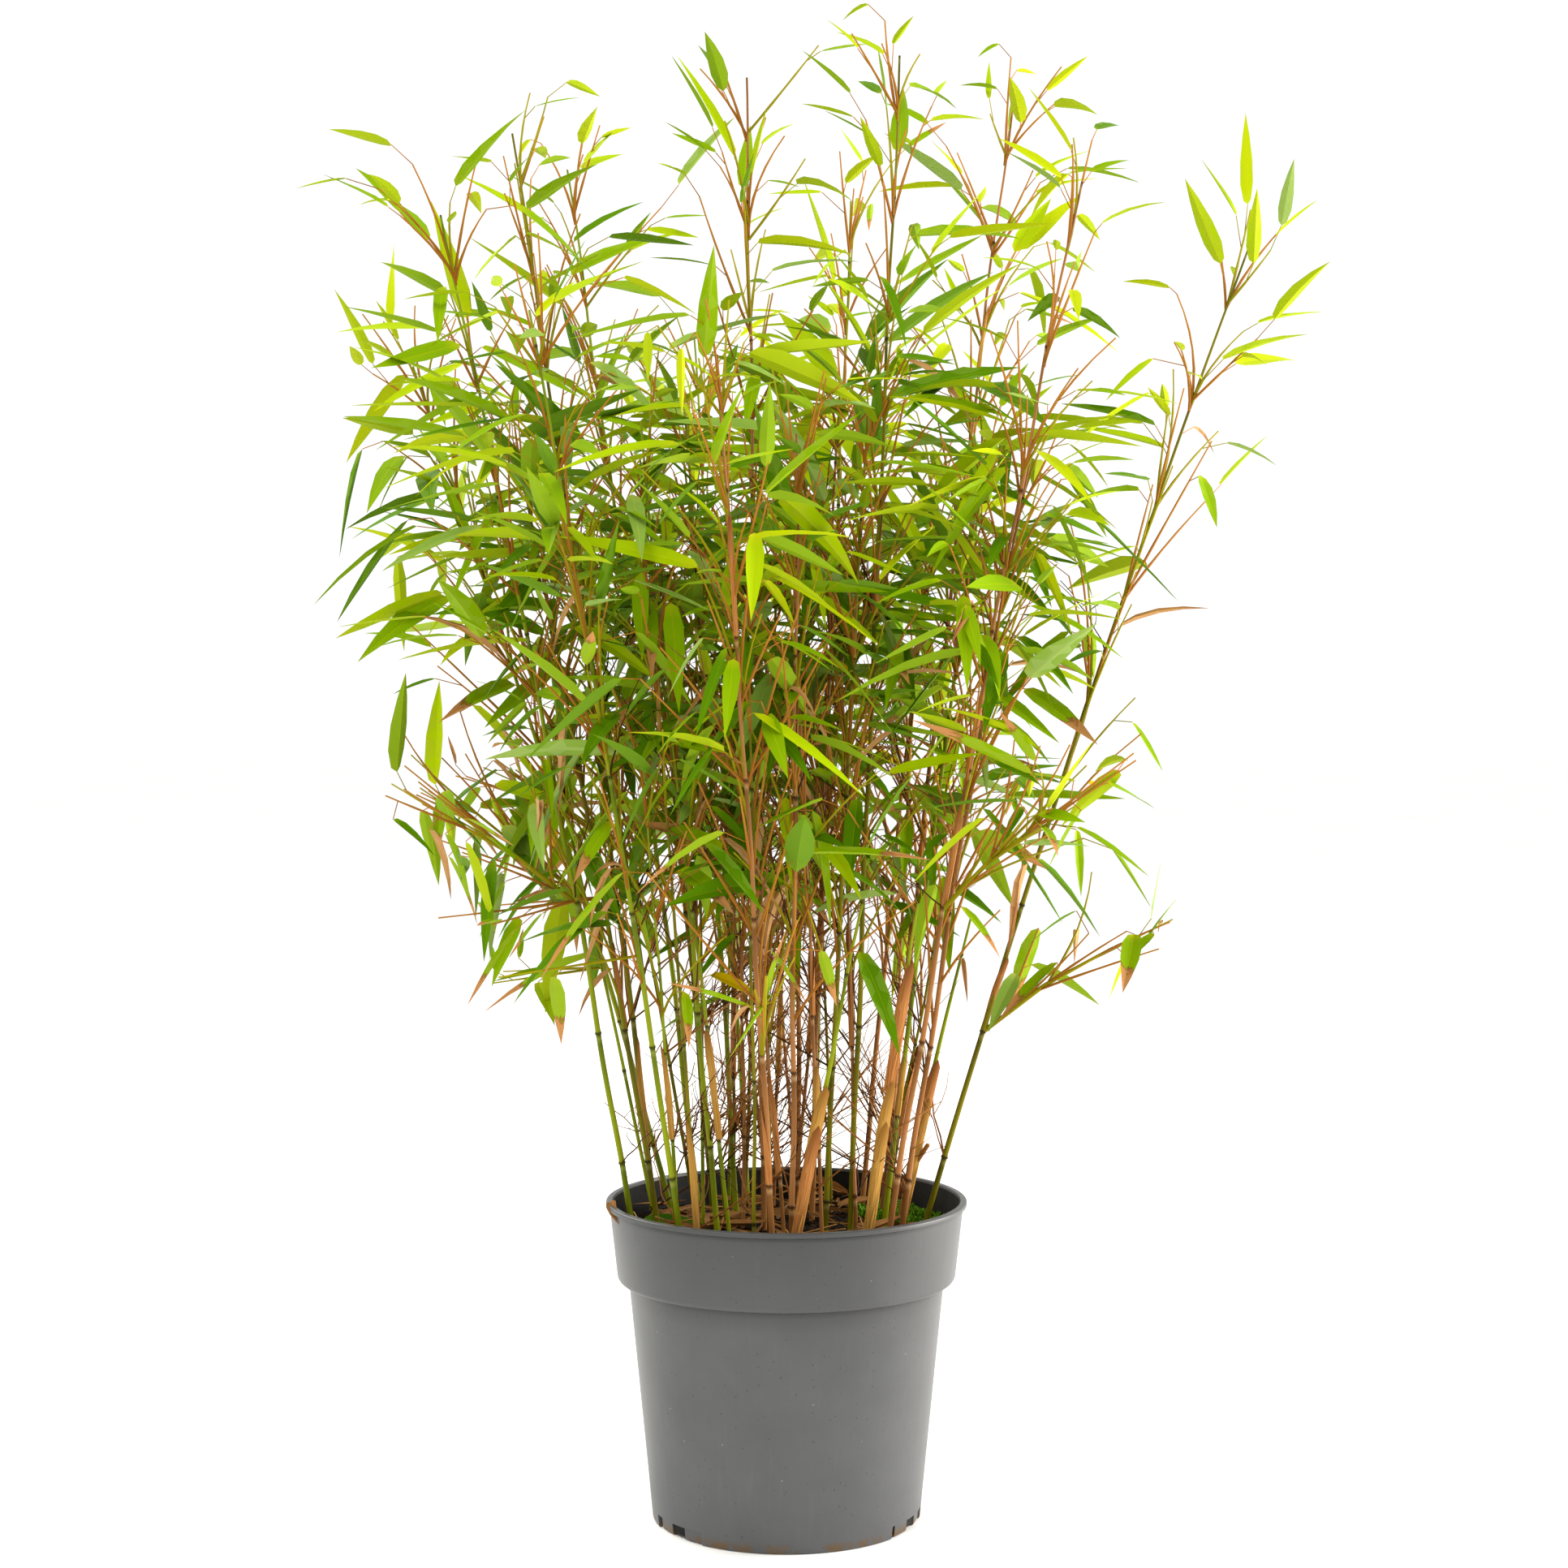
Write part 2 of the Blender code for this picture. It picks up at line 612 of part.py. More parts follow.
def keep_largest_body(mesh):
    """Drop loose scraps and sealed hollows: only the body with most faces stays."""
    bm = bmesh.new()
    bm.from_mesh(mesh)
    bmesh.ops.triangulate(bm, faces=bm.faces)
    left = set(bm.faces)
    bodies = []
    while left:
        body = set()
        edge = [left.pop()]
        while edge:
            face = edge.pop()
            body.add(face)
            near = {other for e in face.edges for other in e.link_faces} & left
            left -= near
            edge.extend(near)
        bodies.append(body)
    bodies.sort(key=len)
    scraps = [face for body in bodies[:-1] for face in body]
    bmesh.ops.delete(bm, geom=scraps, context="FACES")
    bm.to_mesh(mesh)
    bm.free()
    return mesh


def obstacle_tree(limbs):
    """Every culm as a tube fatter by the margin that foliage keeps from it."""
    corners = []
    faces = []
    for limb in limbs:
        places = (0.0, limb.cut * 0.5, limb.cut)
        radii = [limb.radius(t) * RIDGE_SWELL + LIMB_MARGIN for t in places]
        points = [limb.point(t) for t in places]
        points[-1] = points[-1] - (points[-1] - points[-2]).normalized() * LIMB_MARGIN
        mesh = tube(points, radii, 1)
        first = len(corners)
        corners += [v.co.copy() for v in mesh.vertices]
        faces += [[first + i for i in face.vertices] for face in mesh.polygons]
        bpy.data.meshes.remove(mesh)
    return BVHTree.FromPolygons(corners, faces)


def make_culms(limbs, parts):
    material = new_material("green_culm", (0.20, 0.26, 0.05), 0.45)
    for limb in limbs:
        stations = culm_stations(limb, ridged=limb.name.startswith("leader"))
        mesh = tube(culm_points(limb, stations), [radius for _, radius in stations], 1)
        new_object(limb.name, mesh, parts, material)


def make_foliage(limbs, parts):
    """A top mass for each culm and a lower mass on each side branch."""
    stems = [(f"foliage_{limb.name}", *top_stem(limb)) for limb in limbs]
    for leader, node, turn in SIDE_BRANCHES:
        limb = limbs[leader]
        stems.append((f"foliage_low_{limb.name}", *side_stem(limb, node, turn)))
    obstacles = obstacle_tree(limbs)
    material = new_material("bamboo_leaf", (0.16, 0.36, 0.03), 0.5)
    for number, (name, points, radii) in enumerate(stems):
        others = [other[1] for other in stems if other[0] != name]
        mass = Foliage(name, points, radii, others, obstacles, SEED + number)
        mass.grow()
        mass.build(parts, material)


def main():
    for thing in list(bpy.data.objects):
        bpy.data.objects.remove(thing)
    parts = new_collection("potted_bamboo")
    cutters = new_collection("cutters")
    make_pot(parts, cutters)
    make_root_ball(parts)
    make_moss(parts)
    limbs = clump()
    make_culms(limbs, parts)
    make_foliage(limbs, parts)


main()
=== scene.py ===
"""The looks of a potted clump-forming bamboo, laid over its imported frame.

Metres, +Z up, +X to the viewer's right; the origin is the middle of the pot's underside.
Canes, twigs, leaves and sheaths are all lofts: closed rings carried along a line, drawn to a
point at both ends.  The canes follow the frame's own limbs, and the foliage grows from them by
the same rule as the frame's masses, carried on to finer twigs inside the same reach.
"""

import math

import bpy
import numpy as np
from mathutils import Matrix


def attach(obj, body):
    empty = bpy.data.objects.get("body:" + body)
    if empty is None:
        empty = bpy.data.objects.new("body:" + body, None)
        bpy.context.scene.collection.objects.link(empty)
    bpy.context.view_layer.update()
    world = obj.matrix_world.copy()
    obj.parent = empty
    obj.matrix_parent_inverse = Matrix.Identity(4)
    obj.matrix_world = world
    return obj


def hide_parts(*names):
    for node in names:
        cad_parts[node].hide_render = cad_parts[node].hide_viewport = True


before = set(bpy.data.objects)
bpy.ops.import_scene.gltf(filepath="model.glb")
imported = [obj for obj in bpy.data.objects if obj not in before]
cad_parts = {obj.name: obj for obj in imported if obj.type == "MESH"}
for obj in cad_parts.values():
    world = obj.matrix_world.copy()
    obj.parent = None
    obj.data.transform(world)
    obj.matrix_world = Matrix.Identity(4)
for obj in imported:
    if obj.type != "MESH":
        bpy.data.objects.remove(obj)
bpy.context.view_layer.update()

MM = 0.001
GAP = 0.3 * MM
GOLDEN_ANGLE = math.radians(137.508)
UV_NAME = "OFBake"
UP = np.array([0.0, 0.0, 1.0])

# The limbs, as in the frame: foot x, y and tip x, y, z in mm.
LEADERS = (
    (-97, -14, -206, -90, 812),
    (-84, 20, -176, 44, 885),
    (-58, 66, -149, 150, 880),
    (-14, -22, -25, -32, 905),
    (16, 62, 45, 170, 862),
    (40, -32, 69, -62, 912),
    (62, 36, 149, 92, 912),
    (62, -62, 171, -136, 824),
    (88, 4, 291, 2, 806),
    (-74, 44, -246, 84, 740),
    (-8, -88, -38, -220, 715),
    (-26, 88, -66, 236, 775),
    (-64, -66, -146, -176, 745),
)
FILLERS = 11
CLUMP_RADIUS = 0.088
FILLER_PHASE = math.radians(30)
FILLER_FAN = 2.05
FILLER_TIP_INNER = 0.735
FILLER_TIP_OUTER = 0.665
LEADER_CUT = 0.50
FILLER_CUT = 0.42
CANE_BOW = 0.12
CANE_FOOT_RADIUS = 1.95 * MM
CANE_TIP_RADIUS = 0.7 * MM
INTERNODE = 0.085
FIRST_NODE = 0.55

# Side branches that carry a lower mass: leader, node up the cane, turn from outwards in degrees.
SIDE_BRANCHES = ((0, 2, -20), (2, 2, 25), (6, 2, 30), (7, 2, -15),
                 (8, 1, -10), (9, 2, 10), (10, 1, 15), (11, 2, -20))
SIDE_LENGTH = 0.100
SIDE_RISE = math.radians(38)
SIDE_END_RISE = math.radians(30)

# Soil and pot, as in the frame.
SOIL_EDGE_HEIGHT = 0.1830
SOIL_CROWN = 4.0 * MM
POT_HEIGHT = 0.2036
RIM_RADIUS = 0.115
LIP_HEIGHT = 3.2 * MM
LIP_OVERHANG = 2.4 * MM
LIP_ROUND = 1.2 * MM
LIP_UNDERCUT = 0.6 * MM
COLLAR_FOOT_RADIUS = 0.1079
COLLAR_FOOT_HEIGHT = 0.1528
COLLAR_ROUND = 4.0 * MM
BODY_TOP_RADIUS = 0.1005
BASE_RADIUS = 0.0854
BASE_ROUND = 1.5 * MM
WALL = 2.0 * MM
LEDGE_HEIGHT = COLLAR_FOOT_HEIGHT + WALL + 0.8 * MM
LEDGE_RISE = 1.0 * MM
WINDOW_STARTS = (200.0, 320.0, 80.0)
WINDOW_HEIGHT = 8.0 * MM
WINDOW_SLOTS = ((1.5, 3.0, 3.4 * MM), (8.0, 10.4, 1.2 * MM),
                (17.5, 9.0, 3.4 * MM), (27.0, 10.4, 1.2 * MM))
MOSS_PLACE = (0.070, 0.062)
MOSS_SIZE = (19.0 * MM, 14.0 * MM, 5.0 * MM)
MOSS_MIDDLE = (0.082, 0.034)
MOSS_REACH = 0.036
MOSS_TUFTS = 900
TUFT_LENGTH = 5.5 * MM

# The crown's reach, drawn in evenly below the waist, its top falling to the front, as in the frame.
CROWN_LOW = np.array([-0.298, -0.262, 0.312])
CROWN_HIGH = np.array([0.346, 0.280, 0.949])
WAIST_HEIGHT = 0.60
SHARE_AT_FOOT = 0.62
FRONT_FALL = 0.20
LEFT_FALL = 0.028

draw = np.random.default_rng(23)
between = draw.uniform


# ---- small sums

def packed(*parts):
    """Arrays of one shape, or numbers, side by side along a new last axis."""
    return np.stack(np.broadcast_arrays(*parts), axis=-1)


def unit(vectors):
    """Vectors scaled to length one."""
    return vectors / np.maximum(np.linalg.norm(vectors, axis=-1, keepdims=True), 1e-9)


def dot(a, b):
    """The dot product along the last axis, kept as an axis."""
    return np.sum(a * b, axis=-1, keepdims=True)


def ease(share):
    """A smooth step: 3 s^2 - 2 s^3 of a share held between 0 and 1."""
    held = np.clip(share, 0.0, 1.0)
    return held * held * (3.0 - 2.0 * held)


def waves(x, y, length, seed, count=9):
    """Rough ground: an even sum of sine waves of about one length, each in its own direction."""
    chance = np.random.default_rng(seed)
    total = np.zeros(np.broadcast(x, y).shape)
    for _ in range(count):
        angle, phase = chance.uniform(0.0, math.tau, 2)
        pitch = math.tau / (length * chance.uniform(0.6, 1.6))
        total += np.sin((x * math.cos(angle) + y * math.sin(angle)) * pitch + phase)
    return total / math.sqrt(count)


def soil_height(x, y):
    """The growing medium's top: a shallow parabolic dome."""
    share = (x * x + y * y) / (BODY_TOP_RADIUS * BODY_TOP_RADIUS)
    return SOIL_EDGE_HEIGHT + SOIL_CROWN * (1.0 - share)


# ---- meshes

def placed(name, data):
    """An object of this data in the scene."""
    made = bpy.data.objects.new(name, data)
    bpy.context.scene.collection.objects.link(made)
    return made


class Skin:
    """The lofts of one piece, gathered and then put into one mesh."""

    def __init__(self, name):
        self.name = name
        self.points = []
        self.faces = []
        self.places = []
        self.kinds = []
        self.count = 0

    def loft(self, rings, ends, v):
        """Skin over stacks of closed rings, each stack's two ends drawn to a point.

        rings (n, s, k, 3); ends (n, 2, 3), the first and last points; v (n or 1, s + 1, 2), the
        second UV at the start and end of each span, the end spans among them.  Corner j of a
        ring has the first UV j / k.
        """
        n, s, k, _ = rings.shape
        points = np.concatenate([ends[:, :1], rings.reshape(n, s * k, 3), ends[:, 1:]], axis=1)
        size = s * k + 2
        here = np.arange(k)
        after = (here + 1) % k
        row = 1 + np.arange(s - 1)[:, None] * k
        last = 1 + (s - 1) * k
        first = self.count + np.arange(n)[:, None, None] * size
        left, right = here / k, (here + 1) / k
        middle = (left + right) / 2
        v = np.broadcast_to(v, (n, s + 1, 2))
        start, end = v[..., :1], v[..., 1:]
        self._keep(first[..., None] + packed(row + here, row + after, row + k + after, row + k + here),
                   packed(left, right, right, left),
                   packed(start[:, 1:s], start[:, 1:s], end[:, 1:s], end[:, 1:s]))
        self._keep(first + packed(0, 1 + after, 1 + here), packed(middle, right, left),
                   packed(start[:, 0], end[:, 0], end[:, 0]))
        self._keep(first + packed(size - 1, last + here, last + after), packed(middle, left, right),
                   packed(end[:, s], start[:, s], start[:, s]))
        self.points.append(points.reshape(-1, 3))
        self.count += n * size

    def _keep(self, corners, u, v):
        """Keep faces of one size with their UV places, all of the first material."""
        corners, u, v = np.broadcast_arrays(corners, u, v)
        size = corners.shape[-1]
        self.faces.append(corners.reshape(-1, size))
        self.places.append(packed(u, v).reshape(-1, 2))
        self.kinds.append(np.zeros(corners.size // size, int))

    def build(self, materials, slot, nodes=(), crease=25.0):
        """The piece itself, riding on the root, with edges sharper than the crease left sharp."""
        mesh = bpy.data.meshes.new(self.name)
        sizes = np.concatenate([np.full(len(f), f.shape[1]) for f in self.faces])
        corners = np.concatenate([f.ravel() for f in self.faces])
        mesh.vertices.add(self.count)
        mesh.vertices.foreach_set("co", np.concatenate(self.points).ravel())
        mesh.loops.add(len(corners))
        mesh.loops.foreach_set("vertex_index", corners)
        mesh.polygons.add(len(sizes))
        mesh.polygons.foreach_set("loop_start", np.concatenate([[0], np.cumsum(sizes)[:-1]]))
        mesh.polygons.foreach_set("material_index", np.concatenate(self.kinds))
        mesh.polygons.foreach_set("use_smooth", np.ones(len(sizes), bool))
        mesh.update(calc_edges=True)
        layer = mesh.uv_layers.new(name=UV_NAME)
        layer.uv.foreach_set("vector", np.concatenate(self.places).ravel())
        mesh.set_sharp_from_angle(angle=math.radians(crease))
        for material in materials:
            mesh.materials.append(material)
        piece = placed(self.name, mesh)
        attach(piece, "root")
        if nodes:
            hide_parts(*nodes)


def spans(places):
    """UV starts and ends for a loft whose rings are at these places, its ends at 0 and 1."""
    marks = np.concatenate([[0.0], places, [1.0]])
    return packed(marks[:-1], marks[1:])[None]


def even_spans(count):
    """The same for so many rings evenly spaced, with short end spans."""
    return spans(np.linspace(0.02, 0.98, count))


def square_to(paths):
    """Two unit vectors square to each path (n, s, 3) at every station, and its tangent."""
    tangent = unit(np.gradient(paths, axis=1))
    whole = unit(paths[:, -1:] - paths[:, :1])
    steady = np.where(np.abs(whole[..., 2:]) > 0.8, np.array([1.0, 0.0, 0.0]), UP)
    first = unit(np.cross(steady, tangent))
    return first, np.cross(tangent, first), tangent


def tubes(skin, paths, radii, sides, v=None):
    """Round limbs: at each station a circle of its radius, square to the path there."""
    first, second, tangent = square_to(paths)
    angle = np.arange(sides) / sides * math.tau
    around = np.cos(angle)[:, None] * first[:, :, None] + np.sin(angle)[:, None] * second[:, :, None]
    rings = paths[:, :, None] + radii[..., None, None] * around
    ends = np.stack([paths[:, 0] - tangent[:, 0] * radii[:, :1] * 0.3,
                     paths[:, -1] + tangent[:, -1] * radii[:, -1:] * 0.6], axis=1)
    skin.loft(rings, ends, even_spans(paths.shape[1]) if v is None else v)


def bent(starts, ends, sag, stations):
    """Lines from starts to ends, bowed by the vector sag in the middle: s(1 - s) of 4 sags."""
    s = np.linspace(0.0, 1.0, stations)[None, :, None]
    return starts[:, None] * (1 - s) + ends[:, None] * s + sag[:, None] * 4.0 * s * (1 - s)


# ---- materials

# Grained matter: name, grains to the metre, colours, roughness, bump strength and bump depth.
# The pot's plastic inside, nearly black.
INNER_WALL = ("dark_inner_wall", 55.0, ((0.4, "#151413"), (0.7, "#2b2824")), 0.62, 0.1, 0.3 * MM)
# Peat and composted bark: damp and crumbly, nearly black with lighter fibres about 1 mm wide.
PEAT = ("peat_and_bark", 190.0, ((0.36, "#080402"), (0.54, "#1c1006"), (0.72, "#4a3216")),
        0.9, 0.8, 1.5 * MM)
# Living cushion moss: bright yellow-green tips about 1 mm apart over dark damp stems.
MOSS = ("cushion_moss", 420.0, ((0.36, "#223a02"), (0.52, "#4c7c04"), (0.70, "#8cbc18")),
        0.85, 0.9, 1.2 * MM)
# A studio's painted board: matt white with the faintest roller mottle.
BOARD = ("matt_white_board", 3.0, ((0.3, "#f6f6f5"), (0.7, "#fbfbfa")), 0.9, 0.0, MM)
# Ribs drawn on each half of a blade, and how its tip's colour sets in along it.
LEAF_RIBS = 6.0
TIP_FADE = ((0.82, 0.0), (1.0, 0.8))
POLYPROPYLENE_IOR = 1.49


def linear(colour):
    """An sRGB hex colour as linear red, green, blue and alpha."""
    parts = np.array([int(colour[i:i + 2], 16) for i in (1, 3, 5)]) / 255.0
    straight = np.where(parts <= 0.04045, parts / 12.92, ((parts + 0.055) / 1.055) ** 2.4)
    return (*straight.tolist(), 1.0)


def add(tree, kind, feeds=(), stops=(), **settings):
    """A node with its settings, a ramp's stops and its feeds, which go by place or by name.

    A feed is a socket, a number or a hex colour.
    """
    made = tree.nodes.new("ShaderNode" + kind)
    for name, value in settings.items():
        setattr(made, name, value)
    for name, feed in feeds.items() if isinstance(feeds, dict) else enumerate(feeds):
        if isinstance(feed, bpy.types.NodeSocket):
            tree.links.new(feed, made.inputs[name])
        else:
            made.inputs[name].default_value = linear(feed) if isinstance(feed, str) else feed
    for i, (place, colour) in enumerate(stops):
        ramp = made.color_ramp.elements
        stop = ramp[i] if i < len(ramp) else ramp.new(place)
        stop.position = place
        stop.color = linear(colour) if isinstance(colour, str) else (colour, colour, colour, 1.0)
    return made.outputs


def started(name):
    """A new material and its node tree."""
    material = bpy.data.materials.new(name)
    material.use_nodes = True
    return material, material.node_tree


def unwrapped(tree):
    """A loft's UV, then its first part, around, and its second, along."""
    uv = add(tree, "UVMap", uv_map=UV_NAME)[0]
    around, along, _ = add(tree, "SeparateXYZ", (uv,))
    return uv, around, along


def finish(material, colour, coats, roughness, specular, height=None, strength=0.0, depth=0.0):
    """Lay coats over a colour, each a share and its own colour, and lead it to the shader.

    A height, where there is one, gives the surface a bump of this strength and depth.
    """
    tree = material.node_tree
    for share, coat in coats:
        colour = add(tree, "Mix", {0: share, 6: colour, 7: coat}, data_type="RGBA")[2]
    shader = tree.nodes["Principled BSDF"]
    tree.links.new(colour, shader.inputs["Base Color"])
    shader.inputs["Roughness"].default_value = roughness
    shader.inputs["Specular IOR Level"].default_value = specular
    if height is not None:
        bump = add(tree, "Bump", {"Strength": strength, "Distance": depth, "Height": height})
        tree.links.new(bump[0], shader.inputs["Normal"])
    return material


def leaf_material(name, upper, under, base, tip, scorch):
    """A living bamboo blade: smooth waxy cuticle above, paler and duller below.

    Fine ribs 0.4 mm apart run its length, drawn 1 mm apart so that they show, and a paler
    midrib splits it.  The tip's colours take over along it by the shares of the scorch.
    """
    material, tree = started(name)
    uv, across, along = unwrapped(tree)
    zigzag = add(tree, "Math", (across, 0.25), operation="PINGPONG")
    from_rib = add(tree, "Math", (0.25, zigzag[0]), operation="SUBTRACT")
    ribs = add(tree, "MapRange", (from_rib[0], 0.0, 0.25, 0.0, LEAF_RIBS * math.tau))
    wave = add(tree, "Math", (ribs[0],), operation="SINE")
    streak = add(tree, "MapRange", (wave[0], -1.0, 1.0, 0.0, 0.14))
    body = add(tree, "ValToRGB", (along,), ((0.0, base), (0.16, upper)))
    rib = add(tree, "ValToRGB", (from_rib[0],), ((0.0, 0.7), (0.022, 0.0)))
    below = add(tree, "MapRange", (across, 0.499, 0.501, 0.0, 0.7))
    mottle = add(tree, "TexNoise", {"Vector": uv, "Scale": 7.0, "Detail": 2.0})
    ragged = add(tree, "MapRange", (mottle[0], 0.3, 0.7, -0.09, 0.09))
    reached = add(tree, "Math", (along, ragged[0]), operation="ADD")
    spent = add(tree, "ValToRGB", (reached[0],), scorch)
    dead = add(tree, "ValToRGB", (reached[0],), tip)
    coats = ((streak[0], base), (rib[0], base), (below[0], under), (spent[0], dead[0]))
    return finish(material, body[0], coats, 0.6, 0.03)


def dry_material(name, light, dark, edge):
    """Dead bamboo leaf or sheath: papery, fibrous and matt, streaked along its length."""
    material, tree = started(name)
    uv, _, along = unwrapped(tree)
    drawn = add(tree, "Mapping", {0: uv, "Scale": (26.0, 1.0, 1.0)})
    fibre = add(tree, "TexNoise", {"Vector": drawn[0], "Scale": 2.2, "Detail": 4.0, "Roughness": 0.6})
    body = add(tree, "ValToRGB", (fibre[0],), ((0.32, dark), (0.66, light)))
    end = add(tree, "ValToRGB", (along,), ((0.62, 0.0), (1.0, 0.8)))
    return finish(material, body[0], ((end[0], edge),), 0.72, 0.08, fibre[0], 0.5, 0.4 * MM)


def cane_material(name, low, high, ring, bloom):
    """A living cane: hard waxy rind, paler above each node and darker green below the next.

    The UV's second part runs from node to node, so a brown scar sits on each node with a faint
    ring of wax under it.
    """
    material, tree = started(name)
    uv, _, along = unwrapped(tree)
    body = add(tree, "ValToRGB", (along,),
               ((0.0, ring), (0.012, ring), (0.026, low), (0.45, low), (0.93, high),
                (0.968, bloom), (0.988, high), (1.0, ring)))
    drawn = add(tree, "Mapping", {0: uv, "Scale": (22.0, 1.0, 1.0)})
    grain = add(tree, "TexNoise", {"Vector": drawn[0], "Scale": 2.0, "Detail": 3.0})
    share = add(tree, "MapRange", (grain[0], 0.0, 1.0, 0.0, 0.45))
    return finish(material, body[0], ((share[0], high),), 0.42, 0.10, grain[0], 0.2, 0.2 * MM)


def twig_material(name, young, old):
    """A fine branch: thin waxed rind, darker towards its foot, mottled where buds have dried."""
    material, tree = started(name)
    uv, _, along = unwrapped(tree)
    body = add(tree, "ValToRGB", (along,), ((0.0, old), (1.0, young)))
    mottle = add(tree, "TexNoise", {"Vector": uv, "Scale": 9.0, "Detail": 2.0})
    share = add(tree, "MapRange", (mottle[0], 0.0, 1.0, 0.0, 0.5))
    return finish(material, body[0], ((share[0], old),), 0.55, 0.05)


def pot_material():
    """Injection-moulded recycled polypropylene: satin mid-grey, a little cloudy.

    Dark and pale flecks are under 1 mm, faint upright drag lines come from the mould, the collar
    is darkened with painted shade from the crown above, painted shadow lies in the creases under
    the lip and under the collar, and brown silt clings to the last 7 mm.
    """
    material, tree = started("moulded_grey_polypropylene")
    place = add(tree, "TexCoord")["Object"]
    cloud = add(tree, "TexNoise", {"Vector": place, "Scale": 14.0, "Detail": 6.0, "Roughness": 0.65})
    body = add(tree, "ValToRGB", (cloud[0],), ((0.35, "#464748"), (0.65, "#4e4f51")))
    fine = add(tree, "Mapping", {0: place, "Scale": (1.0, 1.0, 0.06)})
    drag = add(tree, "TexNoise", {"Vector": fine[0], "Scale": 260.0, "Detail": 2.0})
    drawn = add(tree, "ValToRGB", (drag[0],), ((0.58, 0.0), (0.82, 0.035)))
    coats = [(drawn[0], "#9a9b99")]
    specks = add(tree, "TexVoronoi", {"Vector": place, "Scale": 300.0})
    near = add(tree, "ValToRGB", (specks["Distance"],), ((0.09, 1.0), (0.15, 0.0)))
    chosen = add(tree, "SeparateColor", (specks["Color"],))
    for channel, rarity, fleck in ((0, 0.72, "#1c1c1c"), (1, 0.975, "#8c8d8b")):
        own = add(tree, "Math", (chosen[channel], rarity), operation="GREATER_THAN")
        shown = add(tree, "Math", (near[0], own[0]), operation="MULTIPLY")
        coats.append((shown[0], fleck))
    height = add(tree, "SeparateXYZ", (place,))[2]
    # Painted shade: the grey darkens upwards from 0.11 m towards the rim, as if the crown shaded it.
    painted_crown_shade = add(tree, "MapRange", (height, 0.11, 0.19, 0.0, 0.48))
    # Painted shadow: dark bands in the crease under the lip and below the collar's rounded foot.
    upward = add(tree, "MapRange", (height, 0.138, POT_HEIGHT, 0.0, 1.0))
    painted_crease_shadow = add(tree, "ValToRGB", (upward[0],),
                ((0.02, 0.0), (0.16, 0.22), (0.205, 0.6), (0.236, 0.6), (0.25, 0.0),
                 (0.905, 0.0), (0.93, 0.55), (0.953, 0.55), (0.962, 0.0)))
    low = add(tree, "MapRange", (height, 7.0 * MM, 3.0 * MM, 0.0, 1.0))
    silt = add(tree, "TexNoise", {"Vector": place, "Scale": 75.0, "Detail": 5.0})
    clinging = add(tree, "ValToRGB", (silt[0],), ((0.46, 0.0), (0.55, 0.9)))
    soiled = add(tree, "Math", (low[0], clinging[0]), operation="MULTIPLY")
    # Painted shade on the collar, painted shadow in the creases, then the real brown silt at the foot.
    coats += [(painted_crown_shade[0], "#2e2e2e"), (painted_crease_shadow[0], "#161616"), (soiled[0], "#57401c")]
    tree.nodes["Principled BSDF"].inputs["IOR"].default_value = POLYPROPYLENE_IOR
    return finish(material, body[0], coats, 0.40, 0.5, cloud[0], 0.10, 0.3 * MM)


def grained_material(name, scale, stops, roughness, strength, depth):
    """Matter in grains or tufts, at so many to the metre: colour and relief share one noise."""
    material, tree = started(name)
    place = add(tree, "TexCoord")["Object"]
    grains = add(tree, "TexNoise", {"Vector": place, "Scale": scale, "Detail": 6.0, "Roughness": 0.65})
    body = add(tree, "ValToRGB", (grains[0],), stops)
    return finish(material, body[0], (), roughness, 0.12, grains[0], strength, depth)


# ---- pot and soil

# Radius of the shell's first and last rings, and heights of the rings down its body.
POT_MIDDLE = 2.0 * MM
BODY_HEIGHTS = (0.11, 0.07, 0.035, WINDOW_HEIGHT + 0.35 * MM, WINDOW_HEIGHT, WINDOW_HEIGHT / 2, BASE_ROUND)
# The soil's roughness: height, length and seed of each set of waves; and how it banks at the wall.
SOIL_WAVES = ((1.3 * MM, 0.022, 3), (0.8 * MM, 0.007, 4), (0.35 * MM, 0.003, 5))
SOIL_BANK = 1.5 * MM
SOIL_RINGS = 60
SOIL_SIDES = 150
# Crumbs: their number, the range of their half length in mm, and their stations along it.
CRUMBS = 520
CRUMB_SIZE = (1.0, 3.4)
CRUMB_STATIONS = np.array([-0.6, 0.0, 0.6])
TUFT_RADII = np.array([[1.1, 1.5, 1.2, 0.5]]) * MM
TUFTING = 0.10


def wall_radius(height, inset=0.0):
    """The pot body's radius at a height, less an inset from the outside."""
    share = height / COLLAR_FOOT_HEIGHT
    return BASE_RADIUS + (BODY_TOP_RADIUS - BASE_RADIUS) * share - inset


def arc(centre_r, centre_z, radius, start, end, steps):
    """Points of a round corner in the (radius, height) plane, angles in degrees."""
    angle = np.radians(np.linspace(start, end, steps + 1))
    return packed(centre_r + radius * np.cos(angle), centre_z + radius * np.sin(angle)).tolist()


def turned(profile, angles, pushed=0.0):
    """A profile of (radius, height) points turned about Z; pushed moves points inwards."""
    radius = np.array(profile)[:, :1] - pushed
    return packed(radius * np.cos(angles), radius * np.sin(angles), np.array(profile)[:, 1:])


